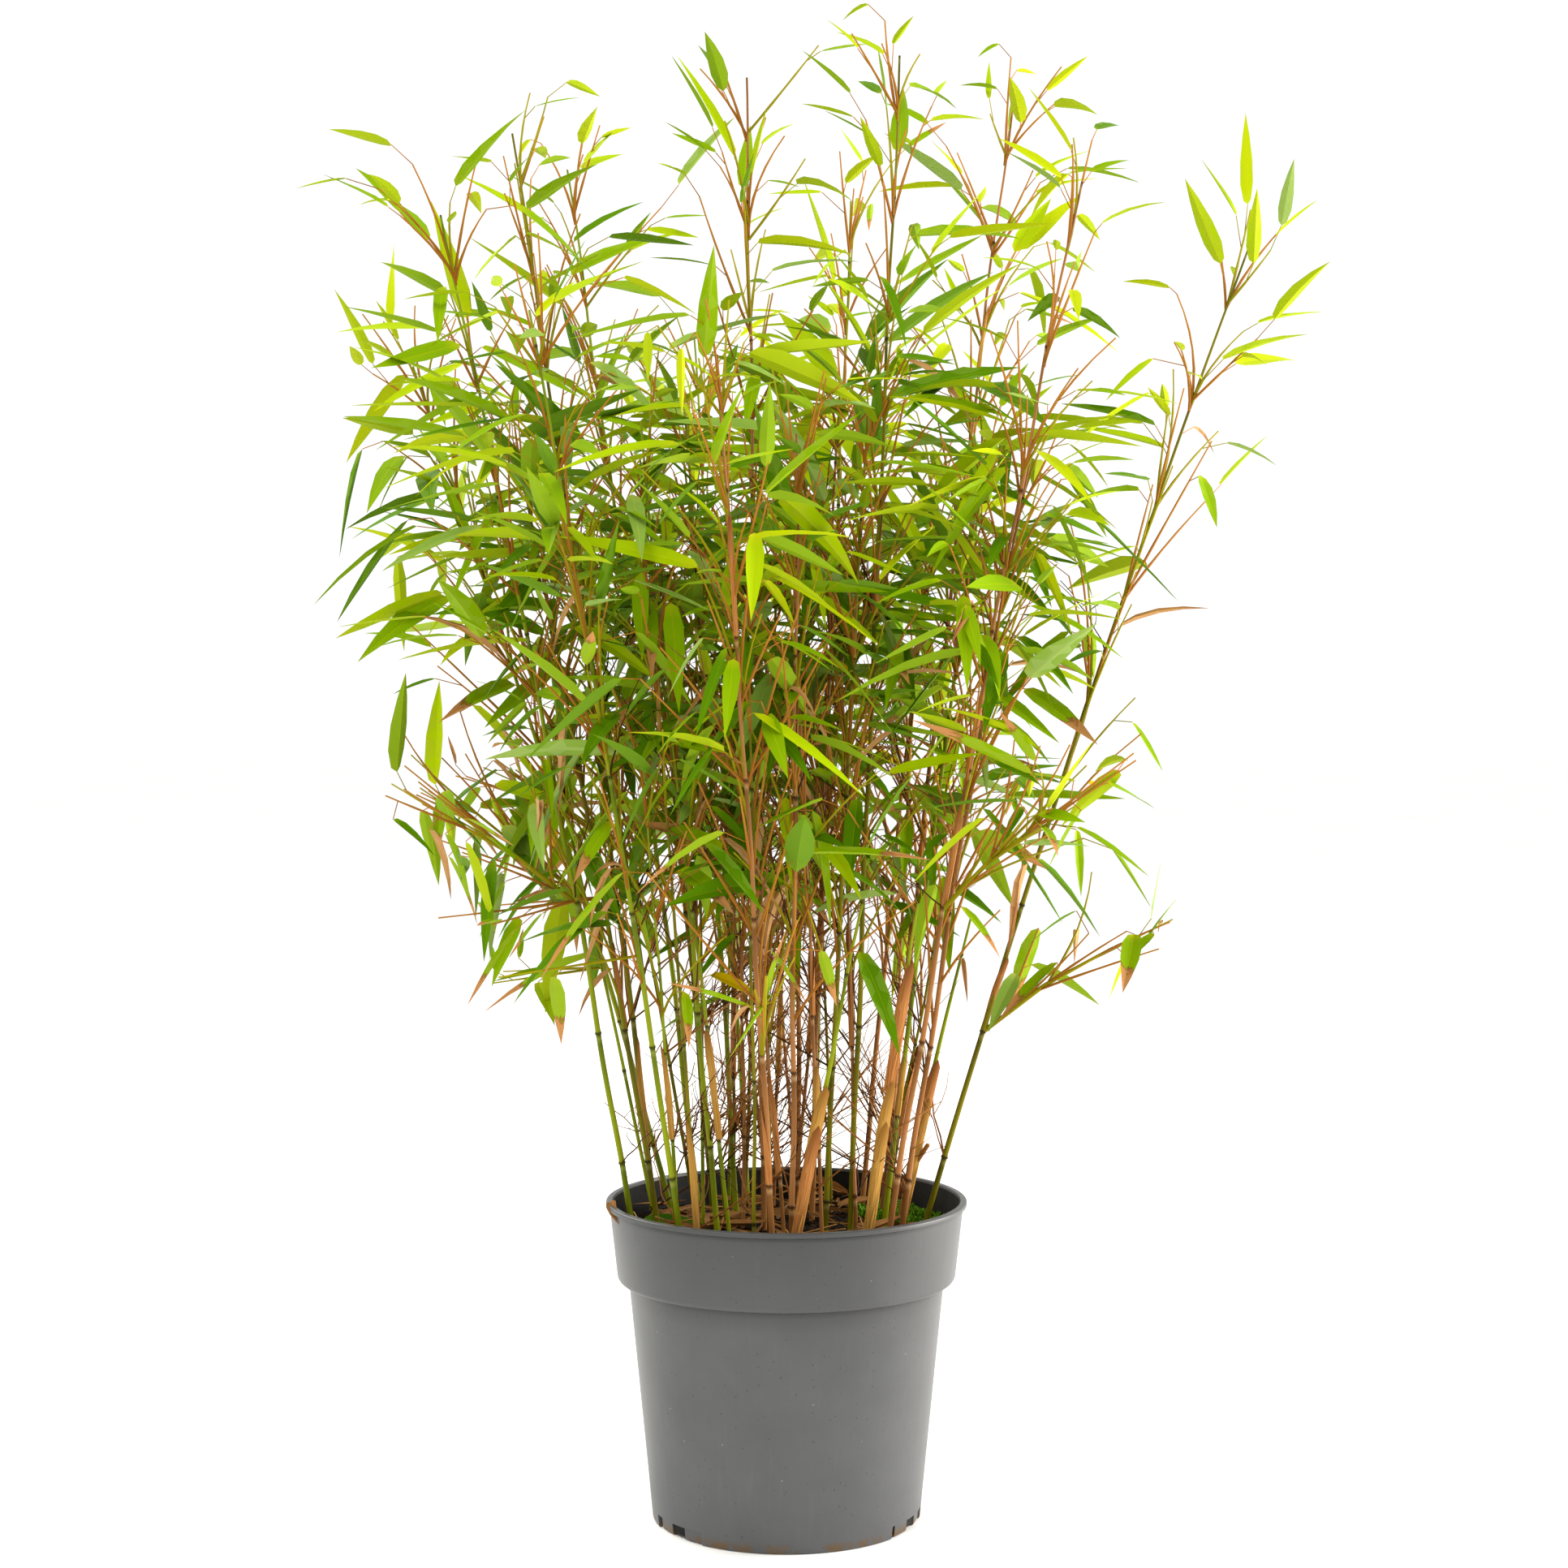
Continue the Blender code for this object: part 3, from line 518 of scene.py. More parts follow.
def make_pot():
    """The pot's shell: one closed turned skin, with drainage windows pressed into its foot."""
    under_lip = POT_HEIGHT - LIP_HEIGHT
    collar_top = RIM_RADIUS - LIP_OVERHANG
    inside = [(POT_MIDDLE, WALL), (wall_radius(WALL, WALL), WALL), (BODY_TOP_RADIUS - WALL, LEDGE_HEIGHT),
              (COLLAR_FOOT_RADIUS - WALL, LEDGE_HEIGHT + LEDGE_RISE),
              (collar_top - WALL - 0.3 * MM, POT_HEIGHT - 1.6 * MM),
              (collar_top - WALL + 0.4 * MM, POT_HEIGHT)]
    outside = arc(RIM_RADIUS - LIP_ROUND, POT_HEIGHT - LIP_ROUND, LIP_ROUND, 90, 0, 5)
    outside += [(RIM_RADIUS, under_lip + 0.4 * MM), (RIM_RADIUS - 0.5 * MM, under_lip),
                (collar_top, under_lip - LIP_UNDERCUT), (collar_top, under_lip - 1.6 * MM)]
    outside += arc(COLLAR_FOOT_RADIUS - COLLAR_ROUND, COLLAR_FOOT_HEIGHT + COLLAR_ROUND,
                   COLLAR_ROUND, 0, -90, 7)
    outside += [(BODY_TOP_RADIUS + 0.4 * MM, COLLAR_FOOT_HEIGHT + 0.2 * MM),
                (BODY_TOP_RADIUS, LEDGE_HEIGHT - WALL - 1.6 * MM)]
    outside += [(wall_radius(z), z) for z in BODY_HEIGHTS]
    outside += [(BASE_RADIUS - 0.4 * MM, 0.4 * MM), (BASE_RADIUS - BASE_ROUND, 0.0), (POT_MIDDLE, 0.0)]
    profile = inside + outside
    windows = [(start + place, width, depth) for start in WINDOW_STARTS
               for place, width, depth in WINDOW_SLOTS]
    edges = [(middle + side * width / 2 + lip) % 360.0 for middle, width, _ in windows
             for side in (-1, 1) for lip in (-0.12, 0.12)]
    marks = np.unique(np.concatenate([np.arange(0.0, 360.0, 2.5), edges]))
    pushed = np.zeros((len(profile), len(marks)))
    low = [i for i, (r, z) in enumerate(profile) if i > len(inside) and z <= WINDOW_HEIGHT and r > 0.01]
    for middle, width, depth in windows:
        off = (marks - middle + 180.0) % 360.0 - 180.0
        pushed[np.ix_(low, np.abs(off) < width / 2)] = depth
    # The skin runs inside-up then outside-down, so its rings turn clockwise to face outwards.
    rings = turned(profile, np.radians(marks), pushed)[:, ::-1]
    skin = Skin("pot_shell")
    skin.loft(rings[None], np.array([[[0.0, 0.0, WALL], [0.0, 0.0, 0.0]]]), even_spans(len(profile)))
    # The second material covers the inside, from the middle of its floor to under the rim.
    inner = np.arange(len(profile) - 1) < len(inside) - 2
    skin.kinds[0] = np.repeat(inner.astype(int), len(marks))
    skin.kinds[1] += 1
    skin.build([pot_material(), grained_material(*INNER_WALL)], "pot_plastic", ["pot"], crease=32.0)


def make_soil():
    """The growing medium: a dome with crumbs raised on it, clear of the pot's wall and floor."""
    edge = COLLAR_FOOT_RADIUS - WALL - GAP
    ledge = LEDGE_HEIGHT + LEDGE_RISE + GAP
    angles = np.arange(SOIL_SIDES) / SOIL_SIDES * math.tau
    radii = np.linspace(1.5 * MM, edge, SOIL_RINGS)[:, None]
    x = radii * np.cos(angles)
    y = radii * np.sin(angles)
    rough = sum(height * waves(x, y, length, seed) for height, length, seed in SOIL_WAVES)
    bank = SOIL_BANK * ease((radii - 0.085) / 0.02)
    top = packed(x, y, soil_height(x, y) + rough * ease((edge - radii) / 0.01) + bank)
    profile = [(wall_radius(WALL, WALL) - GAP, WALL + GAP),
               (BODY_TOP_RADIUS - WALL - GAP, ledge), (edge, ledge)]
    rings = np.concatenate([turned(profile, angles), top[::-1]])
    ends = np.array([[[0.0, 0.0, WALL + GAP], [0.0, 0.0, soil_height(0.0, 0.0)]]])
    skin = Skin("growing_medium")
    skin.loft(rings[None], ends, even_spans(len(rings)))
    skin.build([grained_material(*PEAT)], "growing_medium", ["root_ball"], crease=60.0)


def scattered(count, reach):
    """Points spread evenly over the soil out to a reach, lying on it."""
    out = reach * np.sqrt(between(0.0, 1.0, count))
    angle = between(0.0, math.tau, count)
    x, y = out * np.cos(angle), out * np.sin(angle)
    return packed(x, y, soil_height(x, y))


def make_crumbs():
    """Bark chips and peat crumbs lying on the soil: small flattened lofts of five sides."""
    heart = scattered(CRUMBS, 0.103)
    size = between(*CRUMB_SIZE, CRUMBS) * MM
    heart[:, 2] += size * 0.25 + 0.6 * MM
    lie = between(0.0, math.tau, CRUMBS)
    along = packed(np.cos(lie), np.sin(lie), between(-0.3, 0.3, CRUMBS))
    paths = heart[:, None] + along[:, None] * size[:, None, None] * CRUMB_STATIONS[None, :, None]
    radii = size[:, None] * between(0.25, 0.5, (CRUMBS, 3))
    skin = Skin("bark_crumbs")
    tubes(skin, paths, radii, 5)
    skin.build([dry_material("composted_bark", "#4c3014", "#1e1206", "#2e1c0c")], "growing_medium")


def off_moss(points):
    """Whether points on the soil are clear of the moss."""
    return np.hypot(*(points[:, :2] - MOSS_MIDDLE).T) > MOSS_REACH


def make_moss():
    """A moss cushion, a squashed dome pushed out by close tufts, and looser tufts round it."""
    x, y = MOSS_PLACE
    turn = math.atan2(y, x) + math.pi / 2
    angles = np.arange(72) / 72 * math.tau
    lift = np.radians(np.linspace(-6.0, 86.0, 22))[:, None]
    tuft = 1.0 + TUFTING * waves(np.cos(angles) * np.cos(lift), np.sin(angles) * np.cos(lift), 0.35, 8)
    right = MOSS_SIZE[0] * np.cos(lift) * np.cos(angles) * tuft
    ahead = MOSS_SIZE[1] * np.cos(lift) * np.sin(angles) * tuft
    rise = MOSS_SIZE[2] * np.sin(lift) * tuft
    seat = soil_height(math.hypot(x, y) - MOSS_SIZE[1], 0.0) + GAP
    rings = packed(x + right * math.cos(turn) - ahead * math.sin(turn),
                   y + right * math.sin(turn) + ahead * math.cos(turn), seat + rise)
    ends = np.array([[[x, y, seat - 0.5 * MM], [x, y, seat + MOSS_SIZE[2] * 1.02]]])
    living = grained_material(*MOSS)
    skin = Skin("moss_cushion")
    skin.loft(rings[None], ends, even_spans(len(rings)))
    skin.build([living], "moss", ["moss_patch"], crease=70.0)
    foot = scattered(MOSS_TUFTS, MOSS_REACH)[:, :2] + MOSS_MIDDLE
    foot = foot[np.hypot(*foot.T) < BODY_TOP_RADIUS + 2.0 * MM]
    count = len(foot)
    heart = between(0.6, 1.0, count) * (1.0 + waves(foot[:, 0], foot[:, 1], 0.018, 12) * 0.3)
    foot = np.column_stack([foot, soil_height(foot[:, 0], foot[:, 1]) + 0.5 * MM])
    grow = heading(between(0.0, math.tau, count), between(0.8, 1.5, count))
    tips = foot + grow * (TUFT_LENGTH * heart)[:, None]
    skin = Skin("moss_tufts")
    tubes(skin, bent(foot, tips, np.zeros_like(foot), 4), TUFT_RADII * heart[:, None], 5)
    skin.build([living], "moss", crease=70.0)


# ---- canes

# Rings about a node and how far each swells, then the rings' shares of the internode above.
NODE_STEPS = np.array([-2.4, -1.2, -0.5, 0.0, 0.7, 1.6, 3.0]) * MM
NODE_SWELL = np.array([1.0, 1.03, 0.97, 1.24, 1.30, 1.10, 1.0])
BETWEEN_NODES = np.array([0.25, 0.5, 0.75])
CANE_KINK = 0.9 * MM
# Which finish the canes take in turn: living ones at the left, more spent ones from there on.
LEFT_FINISHES = ("green", "olive", "green")
OTHER_FINISHES = ("tan", "olive", "tan", "tan", "green", "olive", "tan")
LEFT_ENDS = -0.030
# How thick weak canes and sheathed shoots are beside the frame's own.
WEAK_SHARE = 0.70
SHOOT_SHARE = 1.1
WEAK_CANES = 25
WEAK_FOOT_REACH = 0.092
WEAK_TIP_HEIGHT = (0.42, 0.64)
WEAK_FAN = (1.3, 2.1)
WEAK_STRAY = (-0.035, 0.035)
WEAK_FIRST_NODE = (0.1, 0.9)
WEAK_INTERNODE = (0.055, 0.095)
WEAK_CUT = 0.9
# Foot x, y, tip x, y, z in mm, and the share of the length still in its sheaths.
SHEATHED_SHOOTS = ((49, -68, 80, -92, 400, 0.6), (4, -84, 46, -100, 400, 0.3),
                   (74, 14, 118, 20, 380, 0.4))
SHOOT_NODES = (0.35, 0.075)


class Limb:
    """A cane's whole line from its foot on the soil to the tip of its foliage."""

    def __init__(self, name, foot, tip, cut, first_node=FIRST_NODE, internode=INTERNODE):
        self.name = name
        self.first_node = first_node
        self.internode = internode
        self.foot = np.array([foot[0], foot[1], soil_height(*foot) + GAP])
        self.tip = np.array(tip)
        self.cut = cut
        self.length = float(np.linalg.norm(self.tip - self.foot))
        self.outward = math.atan2(self.tip[1] - self.foot[1], self.tip[0] - self.foot[0])

    def points(self, t):
        """Straight in height; the lean grows evenly, by the bow, from foot to tip."""
        t = np.asarray(t, float)
        share = (t + CANE_BOW * (t * t - t))[..., None]
        line = self.foot + (self.tip - self.foot) * share
        line[..., 2] = self.foot[2] + (self.tip[2] - self.foot[2]) * t
        return line

    def radius(self, t):
        """The plain taper, without the nodes."""
        return CANE_FOOT_RADIUS + (CANE_TIP_RADIUS - CANE_FOOT_RADIUS) * np.asarray(t)

    def node_places(self, end=0.97):
        """Shares of the length at which nodes sit, the first a little over half an internode up."""
        count = int(end * self.length / self.internode - self.first_node) + 1
        return (np.arange(count) + self.first_node) * self.internode / self.length


def clump():
    """Every limb: the leaders, then fillers on a golden-angle spiral."""
    limbs = []
    for number, leader in enumerate(np.array(LEADERS) * MM, 1):
        limbs.append(Limb(f"leader_{number:02d}", leader[:2], leader[2:], LEADER_CUT))
    for i in range(FILLERS):
        share = math.sqrt((i + 0.5) / FILLERS)
        angle = FILLER_PHASE + GOLDEN_ANGLE * i
        foot = (CLUMP_RADIUS * share * math.cos(angle), CLUMP_RADIUS * share * math.sin(angle))
        height = FILLER_TIP_INNER + (FILLER_TIP_OUTER - FILLER_TIP_INNER) * share
        tip = (foot[0] * FILLER_FAN, foot[1] * FILLER_FAN, height)
        limbs.append(Limb(f"culm_{i + 1:02d}", foot, tip, FILLER_CUT, between(0.15, 0.95)))
    return limbs


def add_cane(skin, limb, foot_share=1.0):
    """One cane: a tapering tube with a scar groove and a swollen ridge at every node."""
    step = limb.internode / limb.length
    t = [0.0, 1.5 * MM / limb.length]
    swell = [1.0, 1.0]
    for place in limb.node_places():
        t += [*(place + NODE_STEPS / limb.length), *(place + BETWEEN_NODES * step)]
        swell += [*NODE_SWELL, *np.ones(len(BETWEEN_NODES))]
    t = np.array([share for share in t if share < 0.995] + [1.0])
    swell = np.array(swell[:len(t) - 1] + [1.0])
    kink = CANE_KINK * np.sin(t / step * math.pi + limb.outward) * ease(t * 8.0)
    path = limb.points(t)
    path[:, 0] += kink * math.sin(limb.outward * 3.0)
    path[:, 1] += kink * math.cos(limb.outward * 3.0)
    count = t / step - limb.first_node + 1.0
    marks = np.concatenate([count[:1], count, count[-1:]])
    low = marks[:-1] - np.floor(marks[:-1] + 1e-6)
    v = np.clip(packed(low, low + marks[1:] - marks[:-1]), 0.0, 1.0)[None]
    tubes(skin, path[None], (limb.radius(t) * swell * foot_share)[None], 10, v)


def make_canes(limbs, weak, shoots):
    """Canes dealt by finish: living green, older olive, and tan where the rind is spent."""
    finishes = {
        "green": cane_material("living_cane_rind", "#8c9610", "#5e6c04", "#33240a", "#848c3c"),
        "olive": cane_material("older_cane_rind", "#7c740c", "#565200", "#2c1e08", "#7c763a"),
        "tan": cane_material("spent_cane_rind", "#a87240", "#764c22", "#3a220c", "#a88458"),
    }
    deal = {(colour, sort): [] for colour in finishes for sort in ("", "weak_")}
    for sort, canes in (("", limbs), ("weak_", weak)):
        for number, limb in enumerate(canes):
            order = LEFT_FINISHES if limb.foot[0] < LEFT_ENDS else OTHER_FINISHES
            deal[order[number % len(order)], sort].append(limb)
    for (colour, sort), chosen in deal.items():
        skin = Skin(f"canes_{sort}{colour}")
        for limb in chosen:
            add_cane(skin, limb, WEAK_SHARE if sort else 1.0)
        skin.build([finishes[colour]], "culm", () if sort else [limb.name for limb in chosen])
    skin = Skin("shoot_canes")
    for limb in shoots:
        add_cane(skin, limb, SHOOT_SHARE)
    skin.build([finishes["green"]], "culm")


def weak_canes():
    """Thin canes between the frame's own: shorter, crossing, and lost among the foliage.

    Every third cane that would stand at the right stands at the left, where they are denser.
    """
    limbs = []
    for i in range(WEAK_CANES):
        share = math.sqrt((i + 0.35) / WEAK_CANES)
        angle = 1.1 + GOLDEN_ANGLE * (i + 40)
        foot = WEAK_FOOT_REACH * share * np.array([math.cos(angle), math.sin(angle)])
        if i % 3 == 1:
            foot[0] = -abs(foot[0])
        lean = foot * between(*WEAK_FAN) + between(*WEAK_STRAY, 2)
        tip = (*lean, between(*WEAK_TIP_HEIGHT))
        nodes = (between(*WEAK_FIRST_NODE), between(*WEAK_INTERNODE))
        limbs.append(Limb(f"weak_{i + 1:02d}", foot, tip, WEAK_CUT, *nodes))
    return limbs


def sheathed_shoots():
    """Stout young shoots still wrapped in their sheaths, at the front and right of the clump."""
    shoots = []
    for i, (*ends, sheathed) in enumerate(SHEATHED_SHOOTS):
        ends = np.array(ends) * MM
        shoots.append(Limb(f"shoot_{i}", ends[:2], ends[2:], sheathed, *SHOOT_NODES))
    return shoots


# ---- foliage

WHORL_SPACING = 0.060
TWIGS_PER_WHORL = 6
TWIG_STAGGER = 1.6 * MM
TWIG_LENGTH = (0.060, 0.125)
TWIG_LEAN = (math.radians(8), math.radians(44))
TWIG_RADII = (0.95 * MM, 0.42 * MM)
LEAF_PLACES = np.array([0.36, 0.56, 0.78, 1.0])
LEAF_TURNS = np.array([0.95, -0.85, 0.65, -0.12])
LEAF_LENGTH = (0.036, 0.088)
LEAF_PLAY = 0.07
LEAF_TURN_PLAY = 0.35
# How much shorter blades are at the very top, and the height from which they shorten.
TOP_SHORTER = 0.28
SHORTER_FROM = 0.66
# A blade's rise in degrees low in the crown, what it gains to the top, and its own spread.
LOW_RISE = -37.0
RISE_GAIN = 67.0
RISE_SPREAD = 0.44
LEAF_WIDTH_SHARE = (0.145, 0.215)
LEAF_DROOP = (0.0, 0.22)
STALK_LENGTH = (6.0 * MM, 22.0 * MM)
STALK_RADIUS = 0.36 * MM
WEAK_FOLIAGE_FROM = 0.42
TWIGS_PER_WEAK_WHORL = 3
LOW_FOLIAGE_FROM = 0.27
TWIGS_PER_LOW_WHORL = 2
# Low sprays: leader, share of its length, turn from outwards in degrees, and how their twigs fan.
LOW_SPRAYS = ((0, 0.34, 5), (1, 0.30, 0), (9, 0.29, 10), (12, 0.33, -10))
SPRAY_SPREAD = (-22, 14)
SPRAY_RISE = math.radians(-8)
SHARE_HEIGHTS = (0.32, 0.40, 0.52, 0.60, 0.68, 0.78, 0.95)
LEAF_SHARES = (0.22, 0.19, 0.45, 0.58, 0.46, 0.35, 0.27)
BARE_TWIGS_KEPT = 0.12
# The share of twigs with the red rind of the year's growth.
RED_TWIGS = 0.62
SIDE_RADII = np.array([[1.6, 1.4, 0.8]]) * MM
RIB_HALF_THICKNESS = 0.13 * MM
RING_PLACES = np.array([0.045, 0.22, 0.47, 0.74, 0.93])
# The greatest value of the blade's outline, t^0.45 (1 - t)^1.1.
OUTLINE_PEAK = 0.392
TRIES = 8
# How a spray's painted light grows outwards and upwards, its spread, and where each brighter kind begins.
RADIAL_LIGHT = 0.34
UPWARD_LIGHT = 0.72
LIGHT_SPREAD = 0.19
LIGHT_STEPS = (0.34, 0.66, 0.98)
# Leaf colours: upper face, underside, base and tip. The first four are painted light and shade,
# dealt by how much light a spray gets, with some real paler young growth.
GREENS = {
    "sunlit": ("#b2c200", "#b0bc16", "#c0ca18", "#bcbe06"),
    "fresh_lit": ("#9eb800", "#a2b21a", "#b6be0e", "#aaae02"),
    "mid": ("#7a9e00", "#88a422", "#9eae0a", "#889e00"),
    "deep": ("#507c00", "#6c8e24", "#7e9808", "#5e8000"),
    # Pale waxy green, partly a painted sheen of the kind leaves show from the side.
    "glaucous_sheen": ("#80a03e", "#96ae5c", "#a8b44a", "#8c9c38"),
    "scorched": ("#7ca000", "#8ea624", "#a6ac0a", "#b8824c"),
    "yellowing": ("#c8a800", "#c0ac24", "#b4a008", "#a4641c"),
}
# The shares by which an ailing blade's dead tip takes over along it.
DEAD_TIPS = {"scorched": ((0.58, 0.0), (0.63, 1.0)), "yellowing": ((0.55, 0.0), (0.95, 1.0))}
# What drying does to a blade's length, droop, width, fold, twist and roll.
DRY_STRETCH = np.array([[0.8], [1.0], [0.8], [1.0], [4.0], [1.0]])
DRY_CURL = np.array([[0.0], [0.25], [0.0], [0.7], [0.0], [0.0]])


def within_reach(points):
    """Whether points are inside the crown's box, drawn in evenly below the waist."""
    up = np.clip((points[..., 2] - CROWN_LOW[2]) / (WAIST_HEIGHT - CROWN_LOW[2]), 0.0, 1.0)
    share = (SHARE_AT_FOOT + (1.0 - SHARE_AT_FOOT) * up)[..., None]
    flat = (points[..., :2] >= CROWN_LOW[:2] * share) & (points[..., :2] <= CROWN_HIGH[:2] * share)
    top = CROWN_HIGH[2] + FRONT_FALL * np.minimum(0.0, points[..., 1])
    top = top - LEFT_FALL * ease((-points[..., 0] - 0.04) / 0.08)
    return flat.all(axis=-1) & (points[..., 2] >= CROWN_LOW[2]) & (points[..., 2] <= top)


def heading(azimuth, rise):
    """Unit vectors from azimuths and rises above the horizon."""
    return packed(np.cos(azimuth) * np.cos(rise), np.sin(azimuth) * np.cos(rise), np.sin(rise))


def leaf_scale(height):
    """Leaves are full size in the body of the crown and shorter on the leaders' tops."""
    past = (height - SHORTER_FROM) / (CROWN_HIGH[2] - SHORTER_FROM)
    return 1.0 - TOP_SHORTER * np.maximum(0.0, past)


def leaf_rise(height):
    """Leaves hang low in the crown, lie level in its middle and rise at its top, each its own way."""
    share = np.clip((height - 0.34) / 0.56, 0.0, 1.0)
    own = np.clip(draw.normal(0.0, RISE_SPREAD, np.shape(height)), -1.0, 1.0)
    return np.radians(LOW_RISE + RISE_GAIN * share) + own


def low_sprays(limbs):
    """Twig roots of the sprays that hang out low at the clump's sides; rows as whorls gives them."""
    rows = []
    for leader, share, turn in LOW_SPRAYS:
        limb = limbs[leader]
        for spread in SPRAY_SPREAD:
            azimuth = limb.outward + math.radians(turn + spread)
            rows.append([*limb.points(share), *heading(azimuth, SPRAY_RISE), azimuth, 1.0])
    return np.array(rows)


def leaf_share(points):
    """The share of leaves that stay: most in the body, fewer on the tops and at the open edges."""
    x, height = points[..., 0], points[..., 2]
    share = np.interp(height, SHARE_HEIGHTS, LEAF_SHARES)
    left = ease((-x - 0.14) / 0.08) * ease((0.56 - height) / 0.08) * ease((height - 0.36) / 0.04)
    right = ease((x - 0.17) / 0.06) * ease((0.70 - height) / 0.06) * ease((height - 0.46) / 0.03)
    broad = ease((-x - 0.16) / 0.05) * ease((height - 0.52) / 0.05) * ease((0.78 - height) / 0.05)
    hanging = ease((-x - 0.12) / 0.02) * ease((0.46 - height) / 0.04)
    return share * (1.0 - 0.8 * left) * (1.0 - 0.8 * right) * (1.0 + 0.5 * broad) + 0.22 * hanging


def side_line(limb, node, turn):
    """A side branch's three points: from its node outwards and up, flatter past its middle."""
    start = limb.points(limb.node_places()[node])
    azimuth = limb.outward + math.radians(turn)
    middle = start + heading(azimuth, SIDE_RISE) * SIDE_LENGTH / 2
    return np.stack([start, middle, middle + heading(azimuth, SIDE_END_RISE) * SIDE_LENGTH / 2])


def whorls(line, length, twigs):
    """Twig roots up one stem: whorls at even spacing, each turned by the golden angle.

    line turns shares of the stem into points.  Each row is a root x, y, z, the stem's
    direction there x, y, z, the twig's azimuth and its scale.
    """
    count = max(3, round(length / WHORL_SPACING))
    whorl = np.repeat(np.arange(count), twigs)
    twig = np.tile(np.arange(twigs), count)
    share = (whorl + 0.35) / count
    along = unit(line(share + 0.01) - line(share - 0.01))
    root = line(share) + along * TWIG_STAGGER * twig[:, None]
    azimuth = between(0.0, math.tau) + GOLDEN_ANGLE * whorl + math.pi * twig
    azimuth = azimuth + between(-0.75, 0.75, len(twig))
    scale = 1.0 - 0.45 * whorl / count
    return np.column_stack([root, along, azimuth, scale])


def stems(limbs, weak):
    """Every stem with leaves: its line, length and twigs to a whorl; canes, then side branches."""
    parts = []
    for limb in limbs:
        parts.append((limb, limb.cut, 1.0, TWIGS_PER_WHORL))
        parts.append((limb, LOW_FOLIAGE_FROM, limb.cut, TWIGS_PER_LOW_WHORL))
    parts += [(limb, WEAK_FOLIAGE_FROM, 1.0, TWIGS_PER_WEAK_WHORL) for limb in weak]
    found = []
    for limb, low, high, twigs in parts:

        def upwards(share, limb=limb, low=low, high=high):
            return limb.points(low + (high - low) * share)
        found.append((upwards, limb.length * (high - low), twigs))
    for leader, node, turn in SIDE_BRANCHES:

        def across(share, knots=side_line(limbs[leader], node, turn)):
            return packed(*(np.interp(share, (0.0, 0.5, 1.0), column) for column in knots.T))
        found.append((across, SIDE_LENGTH, TWIGS_PER_WHORL))
    return found


def grow_twigs(roots):
    """Twigs leaning from their stems: start, end and azimuth; one past the reach is drawn in."""
    start, along, azimuth, scale = roots[:, :3], roots[:, 3:6], roots[:, 6], roots[:, 7]
    lean = between(*TWIG_LEAN, len(roots))
    length = between(*TWIG_LENGTH, len(roots)) * scale
    out = heading(azimuth, 0.0)
    for _ in range(TRIES):
        towards = unit(along * np.cos(lean)[:, None] + out * np.sin(lean)[:, None])
        end = start + towards * length[:, None]
        inside = within_reach(end)
        lean = np.where(inside, lean, lean * 0.85)
        length = np.where(inside, length, length * 0.85)
    return start[inside], end[inside], azimuth[inside], out[inside]


def grow_leaves(path, azimuth):
    """Leaf stalks and blades along the twigs, the last at each twig's end.

    path (m, 7, 3).  A blade past the reach is turned, lifted and shortened, then left out.
    """
    twig = np.repeat(np.arange(len(path)), len(LEAF_PLACES))
    place = np.tile(LEAF_PLACES, len(path))
    turn = np.tile(LEAF_TURNS, len(path)) * np.repeat(draw.choice([-1.0, 1.0], len(path)), len(LEAF_PLACES))
    place = np.where(place < 1.0, place + between(-LEAF_PLAY, LEAF_PLAY, len(place)), place)
    spot = place * (path.shape[1] - 1)
    below = np.minimum(spot.astype(int), path.shape[1] - 2)
    part = (spot - below)[:, None]
    joint = path[twig, below] * (1 - part) + path[twig, below + 1] * part
    stem = unit(path[twig, below + 1] - path[twig, below])
    az = azimuth[twig] + turn + between(-LEAF_TURN_PLAY, LEAF_TURN_PLAY, len(twig))
    rise = leaf_rise(joint[:, 2])
    stalk = between(*STALK_LENGTH, len(twig))[:, None]
    size = between(0.0, 1.0, len(twig)) ** 1.5
    length = (LEAF_LENGTH[0] + (LEAF_LENGTH[1] - LEAF_LENGTH[0]) * size) * leaf_scale(joint[:, 2])
    droop = between(*LEAF_DROOP, len(twig))
    for attempt in range(TRIES):
        towards = heading(az, rise)
        root = joint + unit(stem + towards) * stalk
        hang = towards * towards[:, 2:] - UP
        tip = root + (towards + hang * droop[:, None]) * length[:, None]
        inside = within_reach(tip)
        spread = 0.22 * (attempt + 1)
        az = np.where(inside, az, az + between(-spread, spread, len(az)))
        rise = np.where(inside, rise, rise + between(-spread, spread, len(az)))
        length = np.where(inside, length, length * 0.96)
    keep = inside & (between(0.0, 1.0, len(twig)) < leaf_share(tip))
    return joint[keep], root[keep], towards[keep], length[keep], droop[keep], twig[keep]


